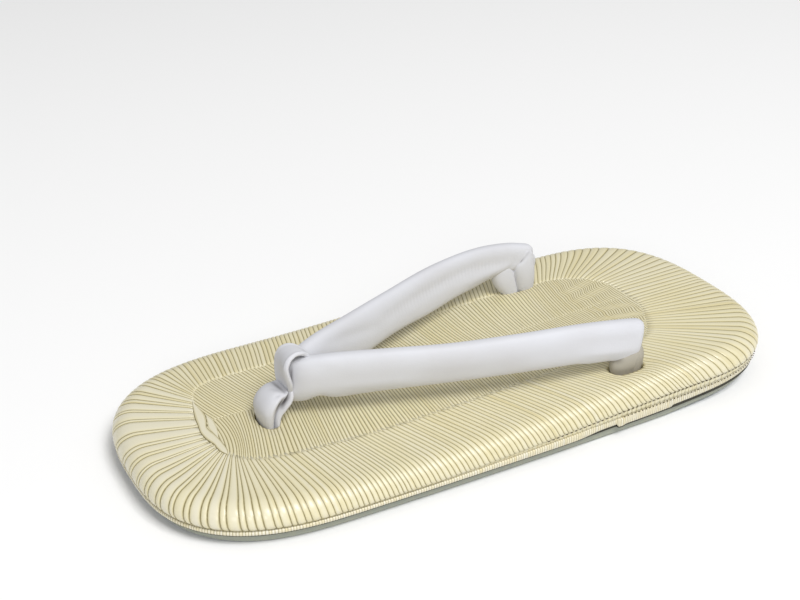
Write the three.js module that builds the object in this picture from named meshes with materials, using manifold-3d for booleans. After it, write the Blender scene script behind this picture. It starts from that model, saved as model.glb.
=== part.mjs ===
// A zori sandal: a padded footbed with a rolled rim on a grey sheet sole, a binding round its side, a
// pad under the heel and a padded V strap with a toe loop. Millimetres, +X to the toe, +Y to the left,
// +Z up, with the origin on the floor under the middle of the outline. It serves for either foot.
import * as THREE from 'three';
import { mergeVertices } from 'three/addons/utils/BufferGeometryUtils.js';
import Module from 'manifold-3d';

const wasm = await Module();
wasm.setup();

// Outline of the outsole
const SOLE_LENGTH = 260;
const TOE_WIDTH = 107;
const HEEL_WIDTH = 107;
const SIDE_BULGE = 2.2; // how far each side bows out at mid length
const TOE_ROUND = 63; // length of the rounded toe end
const HEEL_ROUND = 51;
const TOE_POWER = 2.87; // 2 is an ellipse, more is squarer
const HEEL_POWER = 2.84;

// Heights and layers
const SOLE_THICKNESS = 4.4;
const SOLE_ROUNDING = 2.4; // of the outsole's lower edge
const SOLE_TOP_ROUNDING = 0.6;
const TOE_SPRING = 1.2; // how far the sole's tip is off the floor
const TOE_SPRING_LENGTH = 32;
const FRONT_HEIGHT = 14.6; // top of the footbed at the forefoot
const HEEL_LIFT = 5.6; // how much higher it is at the heel
const LIFT_START = 55; // x where the rise to the heel starts
const LIFT_END = -91;
const SEAM_HEIGHT = 6.3; // seam under the rolled rim at the forefoot
const RIM_OVERHANG = 2.6; // rim beyond the outsole's edge
const RIM_ROLL = 8; // width of the rolled rim
const RIM_DROOP = 2; // widest line of the rim above the seam
const RIM_TURN = 0.35; // share of the droop at which the rim turns in to the seam
const SEAM_TUCK = 0.9; // side below the seam, in from the rim
const SIDE_LEAST = 0.1; // least height of the side between the binding and the seam
const BINDING_PROUD = 0.5; // binding beyond the side above it
const BINDING_DEPTH = 3.4;
const BINDING_FRONT_HEIGHT = 1.6;
const BINDING_HEEL_HEIGHT = 4.4;
const BINDING_ROUNDING = 0.45;
const LAP_X = -47; // where the binding's rear end laps over its front end, on the left side
const LAP_LENGTH = 26;
const LAP_STEP = 0.8;
const PATCH_THICKNESS = 1.5;
const PATCH_FRONT_X = -88;
const PATCH_REAR_MARGIN = 3; // sole left behind the patch
const PATCH_WIDTH = 78;
const PATCH_CORNER = 8;
const PATCH_POWER = 2.5;
const PATCH_BEVEL = 2.2;
const PATCH_LEDGE = 6; // sole ahead of the patch that is as high as over it
const PATCH_RAMP = 45; // length over which the sole rises to the patch
const FIT_GAP = 0.3; // between curved pieces that touch

// Straps
const TOE_HOLE_X = 76.4;
const TOE_HOLE_Y = 1.5; // the strap is set a little to the left
const REAR_HOLE_X = -54.5;
const REAR_MIDDLE_Y = 3; // middle of the two rear holes
const REAR_HOLE_SPREAD = 38.7; // each rear hole from that middle
const STRAP_FRONT_BACK = 10.4; // front end of the arms behind the toe hole
const STRAP_OVERRUN = 6.5; // rear end of the arms behind the rear hole
const STRAP_WIDTH = 16.4;
const STRAP_THICKNESS = 7.5;
const STRAP_LIFT = 15; // middle of the band above the footbed
const NECK_WIDTH = 13.6; // folded end in the rear hole
const NECK_THICKNESS = 8;
const NECK_RISE = 11; // top of the folded end above the footbed, inside the arm
const LOOP_WIDTH = 14;
const LOOP_HEIGHT = 21.4; // middle of the loop's band above the footbed
const LOOP_REACH = 14.5; // how far the loop leans back over the arms
const BULB_THICKNESS = 11.6; // both plies of the loop where they leave the toe hole

// Fineness
const EDGE_POINTS = 96;
const EDGE_SAMPLES = 600;
const ROLL_STEPS = 5;
const ARM_STEPS = 26;
const LOOP_STEPS = 22;
const NECK_STEPS = 8;
const SECTION_POINTS = 14;
const SECTION_POWER = 2.5;
const HOLE_POINTS = 20;
const PLUG_OVERRUN = 4; // hole cutters beyond the footbed
const HAIR = 0.01; // keeps points of an outline apart
const MERGE_DISTANCE = 1e-4;

// The outsole's lower edge. inset and rise: shares of its rounding.
const SOLE_EDGE = [
  { inset: 1, rise: 0 },
  { inset: 0.33, rise: 0.21 },
  { inset: 0, rise: 0.67 },
];

// One arm of the V from the toe loop back. run: share of the way to the rear end, spread: share of the
// rear holes' spread, lift: share of the strap's lift, width and depth: shares of its section, lean:
// degrees by which the upper edge leans in.
const ARM = [
  { run: -0.035, spread: -0.05, lift: 0.86, width: 0.50, depth: 0.45, lean: 2 },
  { run: -0.02, spread: 0.02, lift: 0.86, width: 0.95, depth: 0.85, lean: 0 },
  { run: 0.02, spread: 0.09, lift: 0.87, width: 1.13, depth: 1.05, lean: -2 },
  { run: 0.10, spread: 0.21, lift: 0.96, width: 1.10, depth: 1.05, lean: -5 },
  { run: 0.22, spread: 0.38, lift: 1.00, width: 1.00, depth: 1.03, lean: -8 },
  { run: 0.40, spread: 0.60, lift: 1.03, width: 1.00, depth: 1.00, lean: -9 },
  { run: 0.60, spread: 0.82, lift: 1.05, width: 1.00, depth: 1.00, lean: -8 },
  { run: 0.80, spread: 0.97, lift: 0.98, width: 1.00, depth: 1.00, lean: -5 },
  { run: 0.92, spread: 0.99, lift: 0.86, width: 0.98, depth: 1.02, lean: -2 },
  { run: 0.985, spread: 0.98, lift: 0.77, width: 0.88, depth: 0.92, lean: 0 },
  { run: 1.00, spread: 0.97, lift: 0.74, width: 0.55, depth: 0.50, lean: 0 },
];

// The folded end of an arm, from inside the arm down into its hole. drop: share of the way to the
// sole, width and depth: shares of the neck's section.
const NECK = [
  { drop: 0.00, width: 0.85, depth: 0.75 },
  { drop: 0.25, width: 1.00, depth: 0.90 },
  { drop: 0.45, width: 0.98, depth: 1.00 },
  { drop: 0.60, width: 0.92, depth: 0.94 },
  { drop: 1.00, width: 0.80, depth: 0.85 },
];

// The toe loop, from the sole up through the hole and back over the arms. back: share of the loop's
// reach, up: share of its height, depth: share of the bulb's thickness, width: share of its width.
const LOOP = [
  { back: 0.00, up: -0.45, depth: 0.80, width: 0.78 },
  { back: 0.00, up: -0.11, depth: 0.92, width: 0.88 },
  { back: -0.02, up: 0.06, depth: 1.00, width: 0.95 },
  { back: 0.00, up: 0.20, depth: 0.98, width: 0.97 },
  { back: 0.10, up: 0.33, depth: 0.80, width: 0.95 },
  { back: 0.24, up: 0.45, depth: 0.55, width: 0.90 },
  { back: 0.33, up: 0.56, depth: 0.42, width: 0.95 },
  { back: 0.38, up: 0.75, depth: 0.40, width: 1.03 },
  { back: 0.44, up: 0.89, depth: 0.38, width: 1.06 },
  { back: 0.58, up: 0.99, depth: 0.36, width: 1.05 },
  { back: 0.78, up: 0.98, depth: 0.36, width: 1.00 },
  { back: 0.95, up: 0.83, depth: 0.36, width: 0.95 },
  { back: 1.02, up: 0.60, depth: 0.34, width: 0.90 },
];

const rearHoleY = (side) => REAR_MIDDLE_Y + side * REAR_HOLE_SPREAD;
const clamp01 = (value) => THREE.MathUtils.clamp(value, 0, 1);

// 0 at the forefoot, 1 under the heel
const heelShare = (x) => 1 - THREE.MathUtils.smoothstep(x, LIFT_END, LIFT_START);
const topHeight = (x) => FRONT_HEIGHT + HEEL_LIFT * heelShare(x);
const seamHeight = (x) => SEAM_HEIGHT + HEEL_LIFT * heelShare(x);
const bindingTop = (x) =>
  SOLE_THICKNESS + THREE.MathUtils.lerp(BINDING_FRONT_HEIGHT, BINDING_HEEL_HEIGHT, heelShare(x));

// Underside of the outsole: flat on the floor, up a little at the tip and up to the patch at the heel
function soleUnderside(x) {
  const tip = clamp01((x - (SOLE_LENGTH / 2 - TOE_SPRING_LENGTH)) / TOE_SPRING_LENGTH);
  const ledge = PATCH_FRONT_X + PATCH_LEDGE;
  const heel = 1 - THREE.MathUtils.smoothstep(x, ledge, ledge + PATCH_RAMP);
  return TOE_SPRING * tip * tip + PATCH_THICKNESS * heel;
}

// Half the outsole's width at x
function halfWidth(x) {
  const share = x / SOLE_LENGTH + 0.5;
  const straight = THREE.MathUtils.lerp(HEEL_WIDTH, TOE_WIDTH, share) / 2;
  const bowed = straight + SIDE_BULGE * 4 * share * (1 - share);
  const toe = clamp01((x - SOLE_LENGTH / 2 + TOE_ROUND) / TOE_ROUND);
  const heel = clamp01((HEEL_ROUND - SOLE_LENGTH / 2 - x) / HEEL_ROUND);
  return bowed * (1 - toe ** TOE_POWER) ** (1 / TOE_POWER) * (1 - heel ** HEEL_POWER) ** (1 / HEEL_POWER);
}

// Points of a closed outline, evenly spaced, from the heel's tip up the left side and back down the
// right side, each with its normal, which points out
function evenOutline(width, from, to, count) {
  const left = [];
  for (let i = 0; i <= EDGE_SAMPLES; i++) {
    const x = THREE.MathUtils.lerp(from, to, 0.5 - 0.5 * Math.cos((Math.PI * i) / EDGE_SAMPLES));
    left.push(new THREE.Vector2(x, i === 0 || i === EDGE_SAMPLES ? 0 : width(x)));
  }
  const walked = [0];
  for (let i = 1; i <= EDGE_SAMPLES; i++) walked.push(walked[i - 1] + left[i].distanceTo(left[i - 1]));
  const half = [];
  let next = 0;
  for (let k = 0; k <= count / 2; k++) {
    const target = (walked[EDGE_SAMPLES] * k) / (count / 2);
    while (next < EDGE_SAMPLES - 1 && walked[next + 1] < target) next++;
    const share = (target - walked[next]) / (walked[next + 1] - walked[next]);
    half.push(left[next].clone().lerp(left[next + 1], clamp01(share)));
  }
  half[0].y = 0;
  half[count / 2].y = 0;
  const mirrored = half.slice(1, -1).reverse().map((p) => new THREE.Vector2(p.x, -p.y));
  const points = [...half, ...mirrored];
  return points.map((point, i) => {
    const along = points[(i + 1) % count].clone().sub(points[(i + count - 1) % count]).normalize();
    return { x: point.x, y: point.y, nx: -along.y, ny: along.x };
  });
}

const edge = evenOutline(halfWidth, -SOLE_LENGTH / 2, SOLE_LENGTH / 2, EDGE_POINTS);

// A ring of the outline moved out by offset(x, y), at height(x)
function ring(outline, offset, height) {
  return outline.map((p) => {
    const move = typeof offset === 'function' ? offset(p.x, p.y) : offset;
    const x = p.x + p.nx * move;
    return new THREE.Vector3(x, p.y + p.ny * move, height(x));
  });
}

// A closed geometry from triangles, turned the right way out
function closedGeometry(points, triangles) {
  let volume = 0;
  for (const [a, b, c] of triangles) {
    volume += points[a].dot(points[b].clone().cross(points[c]));
  }
  const order = volume > 0 ? triangles : triangles.map(([a, b, c]) => [a, c, b]);
  const geometry = new THREE.BufferGeometry();
  geometry.setAttribute('position', new THREE.Float32BufferAttribute(points.flatMap((p) => p.toArray()), 3));
  geometry.setIndex(order.flat());
  return geometry;
}

// Quads between consecutive rings, as triangles
function wallTriangles(count, ringCount, closed) {
  const triangles = [];
  for (let r = 0; r < (closed ? ringCount : ringCount - 1); r++) {
    const low = r * count;
    const high = ((r + 1) % ringCount) * count;
    for (let i = 0; i < count; i++) {
      const j = (i + 1) % count;
      triangles.push([low + i, low + j, high + j], [low + i, high + j, high + i]);
    }
  }
  return triangles;
}

// Caps a mirrored ring with rungs across it, so that a height that follows x stays true
function rungTriangles(start, count, flip) {
  const triangles = [];
  for (let k = 0; k < count / 2; k++) {
    const a = start + k;
    const b = start + k + 1;
    const c = start + ((count - k - 1) % count);
    const d = start + ((count - k) % count);
    if (c !== b) triangles.push(flip ? [a, c, b] : [a, b, c]);
    if (d !== a) triangles.push(flip ? [a, d, c] : [a, c, d]);
  }
  return triangles;
}

// A solid from mirrored rings, first one below
function layered(rings) {
  const count = rings[0].length;
  const last = (rings.length - 1) * count;
  return closedGeometry(rings.flat(), [
    ...wallTriangles(count, rings.length, false),
    ...rungTriangles(0, count, true),
    ...rungTriangles(last, count, false),
  ]);
}

// Unit superellipse points
function roundSection(count, power) {
  return Array.from({ length: count }, (_, i) => {
    const angle = (2 * Math.PI * i) / count;
    const shape = (value) => Math.sign(value) * Math.abs(value) ** (2 / power);
    return new THREE.Vector2(shape(Math.cos(angle)), shape(Math.sin(angle)));
  });
}

// A stuffed band through stations { centre, wide, thick }, where wide and thick are half-size vectors
function band(stations) {
  const section = roundSection(SECTION_POINTS, SECTION_POWER);
  const points = stations.flatMap(({ centre, wide, thick }) =>
    section.map((s) => centre.clone().addScaledVector(wide, s.x).addScaledVector(thick, s.y)));
  const triangles = wallTriangles(SECTION_POINTS, stations.length, false);
  const last = (stations.length - 1) * SECTION_POINTS;
  for (let i = 1; i < SECTION_POINTS - 1; i++) {
    triangles.push([0, i + 1, i], [last, last + i, last + i + 1]);
  }
  return closedGeometry(points, triangles);
}

// Evenly spread samples of a smooth curve through the rows, each row made two vectors
function samples(rows, place, size, steps) {
  const path = new THREE.CatmullRomCurve3(rows.map(place), false, 'centripetal');
  const sizes = new THREE.CatmullRomCurve3(rows.map(size), false, 'centripetal');
  return Array.from({ length: steps + 1 }, (_, i) => ({
    centre: path.getPoint(i / steps),
    tangent: path.getTangent(i / steps),
    size: sizes.getPoint(i / steps),
  }));
}

function toManifold(geometry) {
  const merged = mergeVertices(geometry, MERGE_DISTANCE);
  return new wasm.Manifold(new wasm.Mesh({
    numProp: 3,
    vertProperties: new Float32Array(merged.attributes.position.array),
    triVerts: new Uint32Array(merged.index.array),
  }));
}

function fromManifold(solid) {
  const mesh = solid.getMesh();
  const geometry = new THREE.BufferGeometry();
  geometry.setAttribute('position', new THREE.BufferAttribute(mesh.vertProperties, 3));
  geometry.setIndex(new THREE.BufferAttribute(mesh.triVerts, 1));
  return geometry;
}

// Finishes
const tatamiSheet = new THREE.MeshStandardMaterial({ color: 0xdbd2af, roughness: 0.42, metalness: 0 });
const bindingSheet = new THREE.MeshStandardMaterial({ color: 0xe2dab8, roughness: 0.45, metalness: 0 });
const greySheet = new THREE.MeshStandardMaterial({ color: 0x879394, roughness: 0.7, metalness: 0 });
const amberRubber = new THREE.MeshStandardMaterial({ color: 0x5f4204, roughness: 0.4, metalness: 0 });
const whiteLeather = new THREE.MeshStandardMaterial({ color: 0xdddfe4, roughness: 0.5, metalness: 0 });

// Outsole: a sheet with soft edges
function outsoleGeometry() {
  const shoulder = SOLE_THICKNESS - SOLE_TOP_ROUNDING * 0.75;
  return layered([
    ...SOLE_EDGE.map((row) => ring(edge, -row.inset * SOLE_ROUNDING, (x) =>
      Math.min(soleUnderside(x) + row.rise * SOLE_ROUNDING, shoulder - HAIR))),
    ring(edge, -SOLE_TOP_ROUNDING / 6, () => shoulder),
    ring(edge, -SOLE_TOP_ROUNDING, () => SOLE_THICKNESS),
  ]);
}

// Heel patch: straight in front, round behind, with a bevelled edge
function patchGeometry() {
  const rear = -SOLE_LENGTH / 2 + PATCH_REAR_MARGIN;
  const length = PATCH_FRONT_X - rear;
  const width = (x) => {
    const back = clamp01((PATCH_FRONT_X - PATCH_CORNER - x) / (length - PATCH_CORNER));
    const front = clamp01((x - PATCH_FRONT_X + PATCH_CORNER) / PATCH_CORNER);
    const corner = PATCH_CORNER * (1 - Math.sqrt(1 - front * front));
    return (PATCH_WIDTH / 2) * (1 - back ** PATCH_POWER) ** (1 / PATCH_POWER) - corner;
  };
  // The straight front edge is carried by its two corners alone
  const front = PATCH_FRONT_X - HAIR;
  const outline = evenOutline(width, rear, front, EDGE_POINTS / 2)
    .filter((p) => p.x < front - PATCH_CORNER / 16 || Math.abs(p.y) > PATCH_WIDTH / 2 - PATCH_CORNER - 1);
  return layered([
    ring(outline, -PATCH_BEVEL, () => 0),
    ring(outline, -PATCH_BEVEL / 4, () => PATCH_THICKNESS / 2),
    ring(outline, 0, () => PATCH_THICKNESS),
  ]);
}

// Depth of the binding's outer face: it is let in where its rear end laps over it
function bindingFace(x, y) {
  const side = RIM_OVERHANG - SEAM_TUCK + BINDING_PROUD;
  const tucked = y > 0 && x > LAP_X && x < LAP_X + LAP_LENGTH;
  return tucked ? side - LAP_STEP : side;
}

function bindingGeometry() {
  const inner = RIM_OVERHANG - SEAM_TUCK + BINDING_PROUD - BINDING_DEPTH;
  const bottom = () => SOLE_THICKNESS;
  const rounded = (x, y) => bindingFace(x, y) - BINDING_ROUNDING;
  const rings = [
    ring(edge, inner, bottom),
    ring(edge, rounded, bottom),
    ring(edge, bindingFace, () => SOLE_THICKNESS + BINDING_ROUNDING),
    ring(edge, bindingFace, (x) => bindingTop(x) - BINDING_ROUNDING),
    ring(edge, rounded, bindingTop),
    ring(edge, inner, bindingTop),
  ];
  return closedGeometry(rings.flat(), wallTriangles(EDGE_POINTS, rings.length, true));
}

// Footbed: a flat foot on the sole, a rebate for the binding, the side, the rolled rim and the top
function footbedGeometry() {
  const inner = RIM_OVERHANG - SEAM_TUCK + BINDING_PROUD - BINDING_DEPTH - FIT_GAP;
  const side = RIM_OVERHANG - SEAM_TUCK;
  const rebate = (x) => bindingTop(x) + FIT_GAP;
  const seam = (x) => Math.max(seamHeight(x), rebate(x) + SIDE_LEAST);
  const rings = [
    ring(edge, inner, () => SOLE_THICKNESS),
    ring(edge, inner, rebate),
    ring(edge, side, rebate),
    ring(edge, side, seam),
    ring(edge, RIM_OVERHANG - RIM_TURN * SEAM_TUCK, (x) => seam(x) + RIM_TURN * RIM_DROOP),
    ring(edge, RIM_OVERHANG, (x) => seam(x) + RIM_DROOP),
  ];
  for (let i = 1; i <= ROLL_STEPS; i++) {
    const angle = (Math.PI / 2) * (i / ROLL_STEPS);
    const inset = RIM_OVERHANG - RIM_ROLL * (1 - Math.cos(angle));
    rings.push(ring(edge, inset, (x) => {
      const low = seam(x) + RIM_DROOP;
      return low + (topHeight(x) - low) * Math.sin(angle);
    }));
  }
  return layered(rings);
}

// An upright plug of a strap hole, from below the footbed to above it
function holePlug(x, y, width, depth) {
  const section = roundSection(HOLE_POINTS, SECTION_POWER);
  const ends = [SOLE_THICKNESS - PLUG_OVERRUN, FRONT_HEIGHT + HEEL_LIFT + PLUG_OVERRUN];
  const points = ends.flatMap((z) =>
    section.map((s) => new THREE.Vector3(x + (s.x * width) / 2, y + (s.y * depth) / 2, z)));
  const triangles = wallTriangles(HOLE_POINTS, 2, false);
  for (let i = 1; i < HOLE_POINTS - 1; i++) {
    triangles.push([0, i + 1, i], [HOLE_POINTS, HOLE_POINTS + i, HOLE_POINTS + i + 1]);
  }
  return toManifold(closedGeometry(points, triangles));
}

function cutFootbed() {
  let solid = toManifold(footbedGeometry());
  solid = solid.subtract(holePlug(TOE_HOLE_X, TOE_HOLE_Y, BULB_THICKNESS + 2 * FIT_GAP, LOOP_WIDTH));
  for (const side of [1, -1]) {
    const width = NECK_WIDTH + 2 * FIT_GAP;
    const depth = NECK_THICKNESS + 2 * FIT_GAP;
    solid = solid.subtract(holePlug(REAR_HOLE_X, rearHoleY(side), width, depth));
  }
  return fromManifold(solid);
}

// One arm of the V, on the left for side 1 and on the right for side -1
function arm(side) {
  const front = TOE_HOLE_X - STRAP_FRONT_BACK;
  const rear = REAR_HOLE_X - STRAP_OVERRUN;
  const place = (row) => {
    const x = THREE.MathUtils.lerp(front, rear, row.run);
    const middle = THREE.MathUtils.lerp(TOE_HOLE_Y, REAR_MIDDLE_Y, row.run);
    const y = middle + side * row.spread * REAR_HOLE_SPREAD;
    return new THREE.Vector3(x, y, topHeight(x) + row.lift * STRAP_LIFT);
  };
  const size = (row) => new THREE.Vector3(row.width, row.depth, row.lean);
  const stations = samples(ARM, place, size, ARM_STEPS).map(({ centre, tangent, size: share }) => {
    const outward = new THREE.Vector3().crossVectors(tangent, new THREE.Vector3(0, 0, 1)).normalize();
    if (outward.y * side < 0) outward.negate();
    const upward = new THREE.Vector3().crossVectors(outward, tangent).normalize();
    if (upward.z < 0) upward.negate();
    const lean = THREE.MathUtils.degToRad(share.z);
    const wide = upward.clone().multiplyScalar(Math.cos(lean)).addScaledVector(outward, -Math.sin(lean));
    const thick = outward.clone().multiplyScalar(Math.cos(lean)).addScaledVector(upward, Math.sin(lean));
    return {
      centre,
      wide: wide.multiplyScalar((share.x * STRAP_WIDTH) / 2),
      thick: thick.multiplyScalar((share.y * STRAP_THICKNESS) / 2),
    };
  });
  return toManifold(band(stations));
}

// The folded end of an arm, in its hole
function neck(side) {
  const high = topHeight(REAR_HOLE_X) + NECK_RISE;
  const low = SOLE_THICKNESS + FIT_GAP;
  const place = (row) =>
    new THREE.Vector3(REAR_HOLE_X, rearHoleY(side), THREE.MathUtils.lerp(high, low, row.drop));
  const size = (row) => new THREE.Vector3(row.width, row.depth, 0);
  const stations = samples(NECK, place, size, NECK_STEPS).map(({ centre, size: share }) => ({
    centre,
    wide: new THREE.Vector3((share.x * NECK_WIDTH) / 2, 0, 0),
    thick: new THREE.Vector3(0, (share.y * NECK_THICKNESS) / 2, 0),
  }));
  return toManifold(band(stations));
}

// The toe loop, out of its hole and over the arms
function toeLoop() {
  const place = (row) => new THREE.Vector3(
    TOE_HOLE_X - row.back * LOOP_REACH, TOE_HOLE_Y, topHeight(TOE_HOLE_X) + row.up * LOOP_HEIGHT);
  const size = (row) => new THREE.Vector3(row.width, row.depth, 0);
  const stations = samples(LOOP, place, size, LOOP_STEPS).map(({ centre, tangent, size: share }) => {
    const across = new THREE.Vector3().crossVectors(tangent, new THREE.Vector3(0, 1, 0)).normalize();
    return {
      centre,
      wide: new THREE.Vector3(0, (share.x * LOOP_WIDTH) / 2, 0),
      thick: across.multiplyScalar((share.y * BULB_THICKNESS) / 2),
    };
  });
  return toManifold(band(stations));
}

// The upper: both arms, their folded ends and the toe loop, one solid where they cross
function upperGeometry() {
  let solid = toeLoop();
  for (const side of [1, -1]) solid = solid.add(arm(side)).add(neck(side));
  return fromManifold(solid);
}

function named(name, geometry, material) {
  const mesh = new THREE.Mesh(geometry, material);
  mesh.name = name;
  return mesh;
}

const sandal = new THREE.Group();
sandal.add(
  named('outsole', outsoleGeometry(), greySheet),
  named('heel_patch', patchGeometry(), amberRubber),
  named('binding', bindingGeometry(), bindingSheet),
  named('footbed', cutFootbed(), tatamiSheet),
  named('upper_strap', upperGeometry(), whiteLeather),
);

export default sandal;
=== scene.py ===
"""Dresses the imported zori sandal: an embossed mat footbed, its side binding, the sole and the strap.

Sizes are in millimetres, +X to the toe, +Y to the left, +Z up. They become metres in the meshes.
"""
import logging
import math
from dataclasses import dataclass, field
from enum import Enum
from typing import Callable, NamedTuple

import bmesh
import bpy
import numpy as np
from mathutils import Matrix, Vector


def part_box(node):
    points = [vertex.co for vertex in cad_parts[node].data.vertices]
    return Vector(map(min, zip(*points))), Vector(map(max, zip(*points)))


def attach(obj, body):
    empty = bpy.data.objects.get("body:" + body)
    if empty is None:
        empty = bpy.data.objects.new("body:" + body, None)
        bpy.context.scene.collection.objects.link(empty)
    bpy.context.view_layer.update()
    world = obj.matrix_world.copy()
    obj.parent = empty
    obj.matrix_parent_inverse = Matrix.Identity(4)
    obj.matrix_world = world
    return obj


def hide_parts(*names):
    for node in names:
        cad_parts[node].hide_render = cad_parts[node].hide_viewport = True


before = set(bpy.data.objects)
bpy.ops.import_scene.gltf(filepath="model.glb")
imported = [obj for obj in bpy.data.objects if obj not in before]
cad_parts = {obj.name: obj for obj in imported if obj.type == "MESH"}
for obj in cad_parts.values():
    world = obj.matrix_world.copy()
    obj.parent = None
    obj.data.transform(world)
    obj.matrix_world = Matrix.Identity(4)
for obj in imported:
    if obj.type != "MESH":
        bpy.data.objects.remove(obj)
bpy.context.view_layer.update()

MM = 0.001
BODY = "root"
Colour = tuple[float, float, float]
log = logging.getLogger("sandal")


def srgb(red: int, green: int, blue: int) -> Colour:
    """Returns the linear colour of a screen colour from 0 to 255."""
    return tuple(((c / 255 + 0.055) / 1.055) ** 2.4 for c in (red, green, blue))


def smoothstep(value: np.ndarray, low: float, high: float) -> np.ndarray:
    """Returns 0 below low, 1 above high and a soft step between."""
    share = np.clip((np.asarray(value, float) - low) / (high - low), 0, 1)
    return share * share * (3 - 2 * share)


def swell(distance: np.ndarray, reach: float) -> np.ndarray:
    """Returns a bell that is 1 at no distance and fades out over the reach."""
    return np.exp(-(np.asarray(distance, float) / reach) ** 2)


def through(keys: np.ndarray, values: np.ndarray, at: np.ndarray) -> np.ndarray:
    """Runs a smooth curve through rows of values.

    Args:
        keys: rising positions of the rows.
        values: one row of numbers for each key.
        at: positions to read the curve at.

    Returns:
        One row of numbers for each position.
    """
    keys, values, at = (np.asarray(a, float) for a in (keys, values, at))
    flat = values.ndim == 1
    values = values[:, None] if flat else values
    steps = np.diff(keys)[:, None]
    slopes = np.diff(values, axis=0) / steps
    tangents = np.vstack([slopes[:1], (slopes[:-1] * steps[1:] + slopes[1:] * steps[:-1])
                          / (steps[1:] + steps[:-1]), slopes[-1:]])
    cell = np.clip(np.searchsorted(keys, at, side="right") - 1, 0, len(keys) - 2)
    width = steps[cell]
    t = ((at - keys[cell])[:, None] / width)
    curve = (values[cell] * (1 + 2 * t) * (1 - t) ** 2 + values[cell + 1] * t * t * (3 - 2 * t)
             + width * tangents[cell] * t * (1 - t) ** 2 - width * tangents[cell + 1] * t * t * (1 - t))
    return curve[:, 0] if flat else curve


class Graph:
    """The node tree of one material."""

    def __init__(self, name: str) -> None:
        """Starts a material with its shader."""
        self.material = bpy.data.materials.new(name)
        self.material.use_nodes = True
        self.nodes = self.material.node_tree.nodes
        self.links = self.material.node_tree.links
        self.shader = self.nodes["Principled BSDF"]

    def feed(self, socket: bpy.types.NodeSocket, value: object) -> None:
        """Links a socket, or sets its number, colour or vector."""
        if isinstance(value, bpy.types.NodeSocket):
            self.links.new(value, socket)
        elif socket.type == "RGBA" and len(value) == 3:
            socket.default_value = (*value, 1.0)
        else:
            socket.default_value = value

    def add(self, kind: str, inputs: dict, **settings: object) -> bpy.types.Node:
        """Adds one node.

        Args:
            kind: the node's type without its ShaderNode prefix.
            inputs: values or sockets by input name or number.
            settings: the node's own options.

        Returns:
            The new node.
        """
        node = self.nodes.new("ShaderNode" + kind)
        for option, value in settings.items():
            setattr(node, option, value)
        for key, value in inputs.items():
            self.feed(node.inputs[key], value)
        return node

    def place(self) -> bpy.types.NodeSocket:
        """Returns the object coordinates, in metres."""
        return self.add("TexCoord", {}).outputs["Object"]

    def attribute(self, name: str) -> bpy.types.NodeSocket:
        """Returns a number that the mesh carries."""
        return self.add("Attribute", {}, attribute_name=name).outputs["Fac"]

    def math(self, operation: str, *values: object) -> bpy.types.NodeSocket:
        """Returns the result of one sum."""
        return self.add("Math", dict(enumerate(values)), operation=operation).outputs[0]

    def noise(self, vector: object, scale: float, detail: float = 2.0) -> bpy.types.NodeSocket:
        """Returns soft noise from 0 to 1, scale to the metre."""
        inputs = {"Vector": vector, "Scale": scale, "Detail": detail}
        return self.add("TexNoise", inputs).outputs["Fac"]

    def cells(self, vector: object, scale: float, smooth: float) -> bpy.types.NodeSocket:
        """Returns the distance to the nearest of many scattered points."""
        inputs = {"Vector": vector, "Scale": scale, "Smoothness": smooth}
        return self.add("TexVoronoi", inputs, feature="SMOOTH_F1").outputs["Distance"]

    def span(self, value: object, low: float, high: float, to_low: float = 0.0,
             to_high: float = 1.0) -> bpy.types.NodeSocket:
        """Returns a value moved from one range to another, and held there."""
        inputs = {"Value": value, "From Min": low, "From Max": high, "To Min": to_low, "To Max": to_high}
        return self.add("MapRange", inputs).outputs["Result"]

    def mix(self, share: object, first: object, second: object) -> bpy.types.NodeSocket:
        """Returns a blend of two colours."""
        node = self.add("Mix", {"Factor": share}, data_type="RGBA")
        self.feed(node.inputs[6], first)
        self.feed(node.inputs[7], second)
        return node.outputs[2]

    def bump(self, height: object, depth: float, normal: object = None) -> bpy.types.NodeSocket:
        """Returns a normal bent by a height of that many millimetres."""
        inputs = {"Height": height, "Distance": depth * MM, "Strength": 1.0}
        if normal is not None:
            inputs["Normal"] = normal
        return self.add("Bump", inputs).outputs[0]

    def finish(self, **sockets: object) -> bpy.types.Material:
        """Sets the shader's sockets, named with underscores, and returns the material."""
        for name, value in sockets.items():
            self.feed(self.shader.inputs[name.replace("_", " ")], value)
        return self.material


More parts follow.
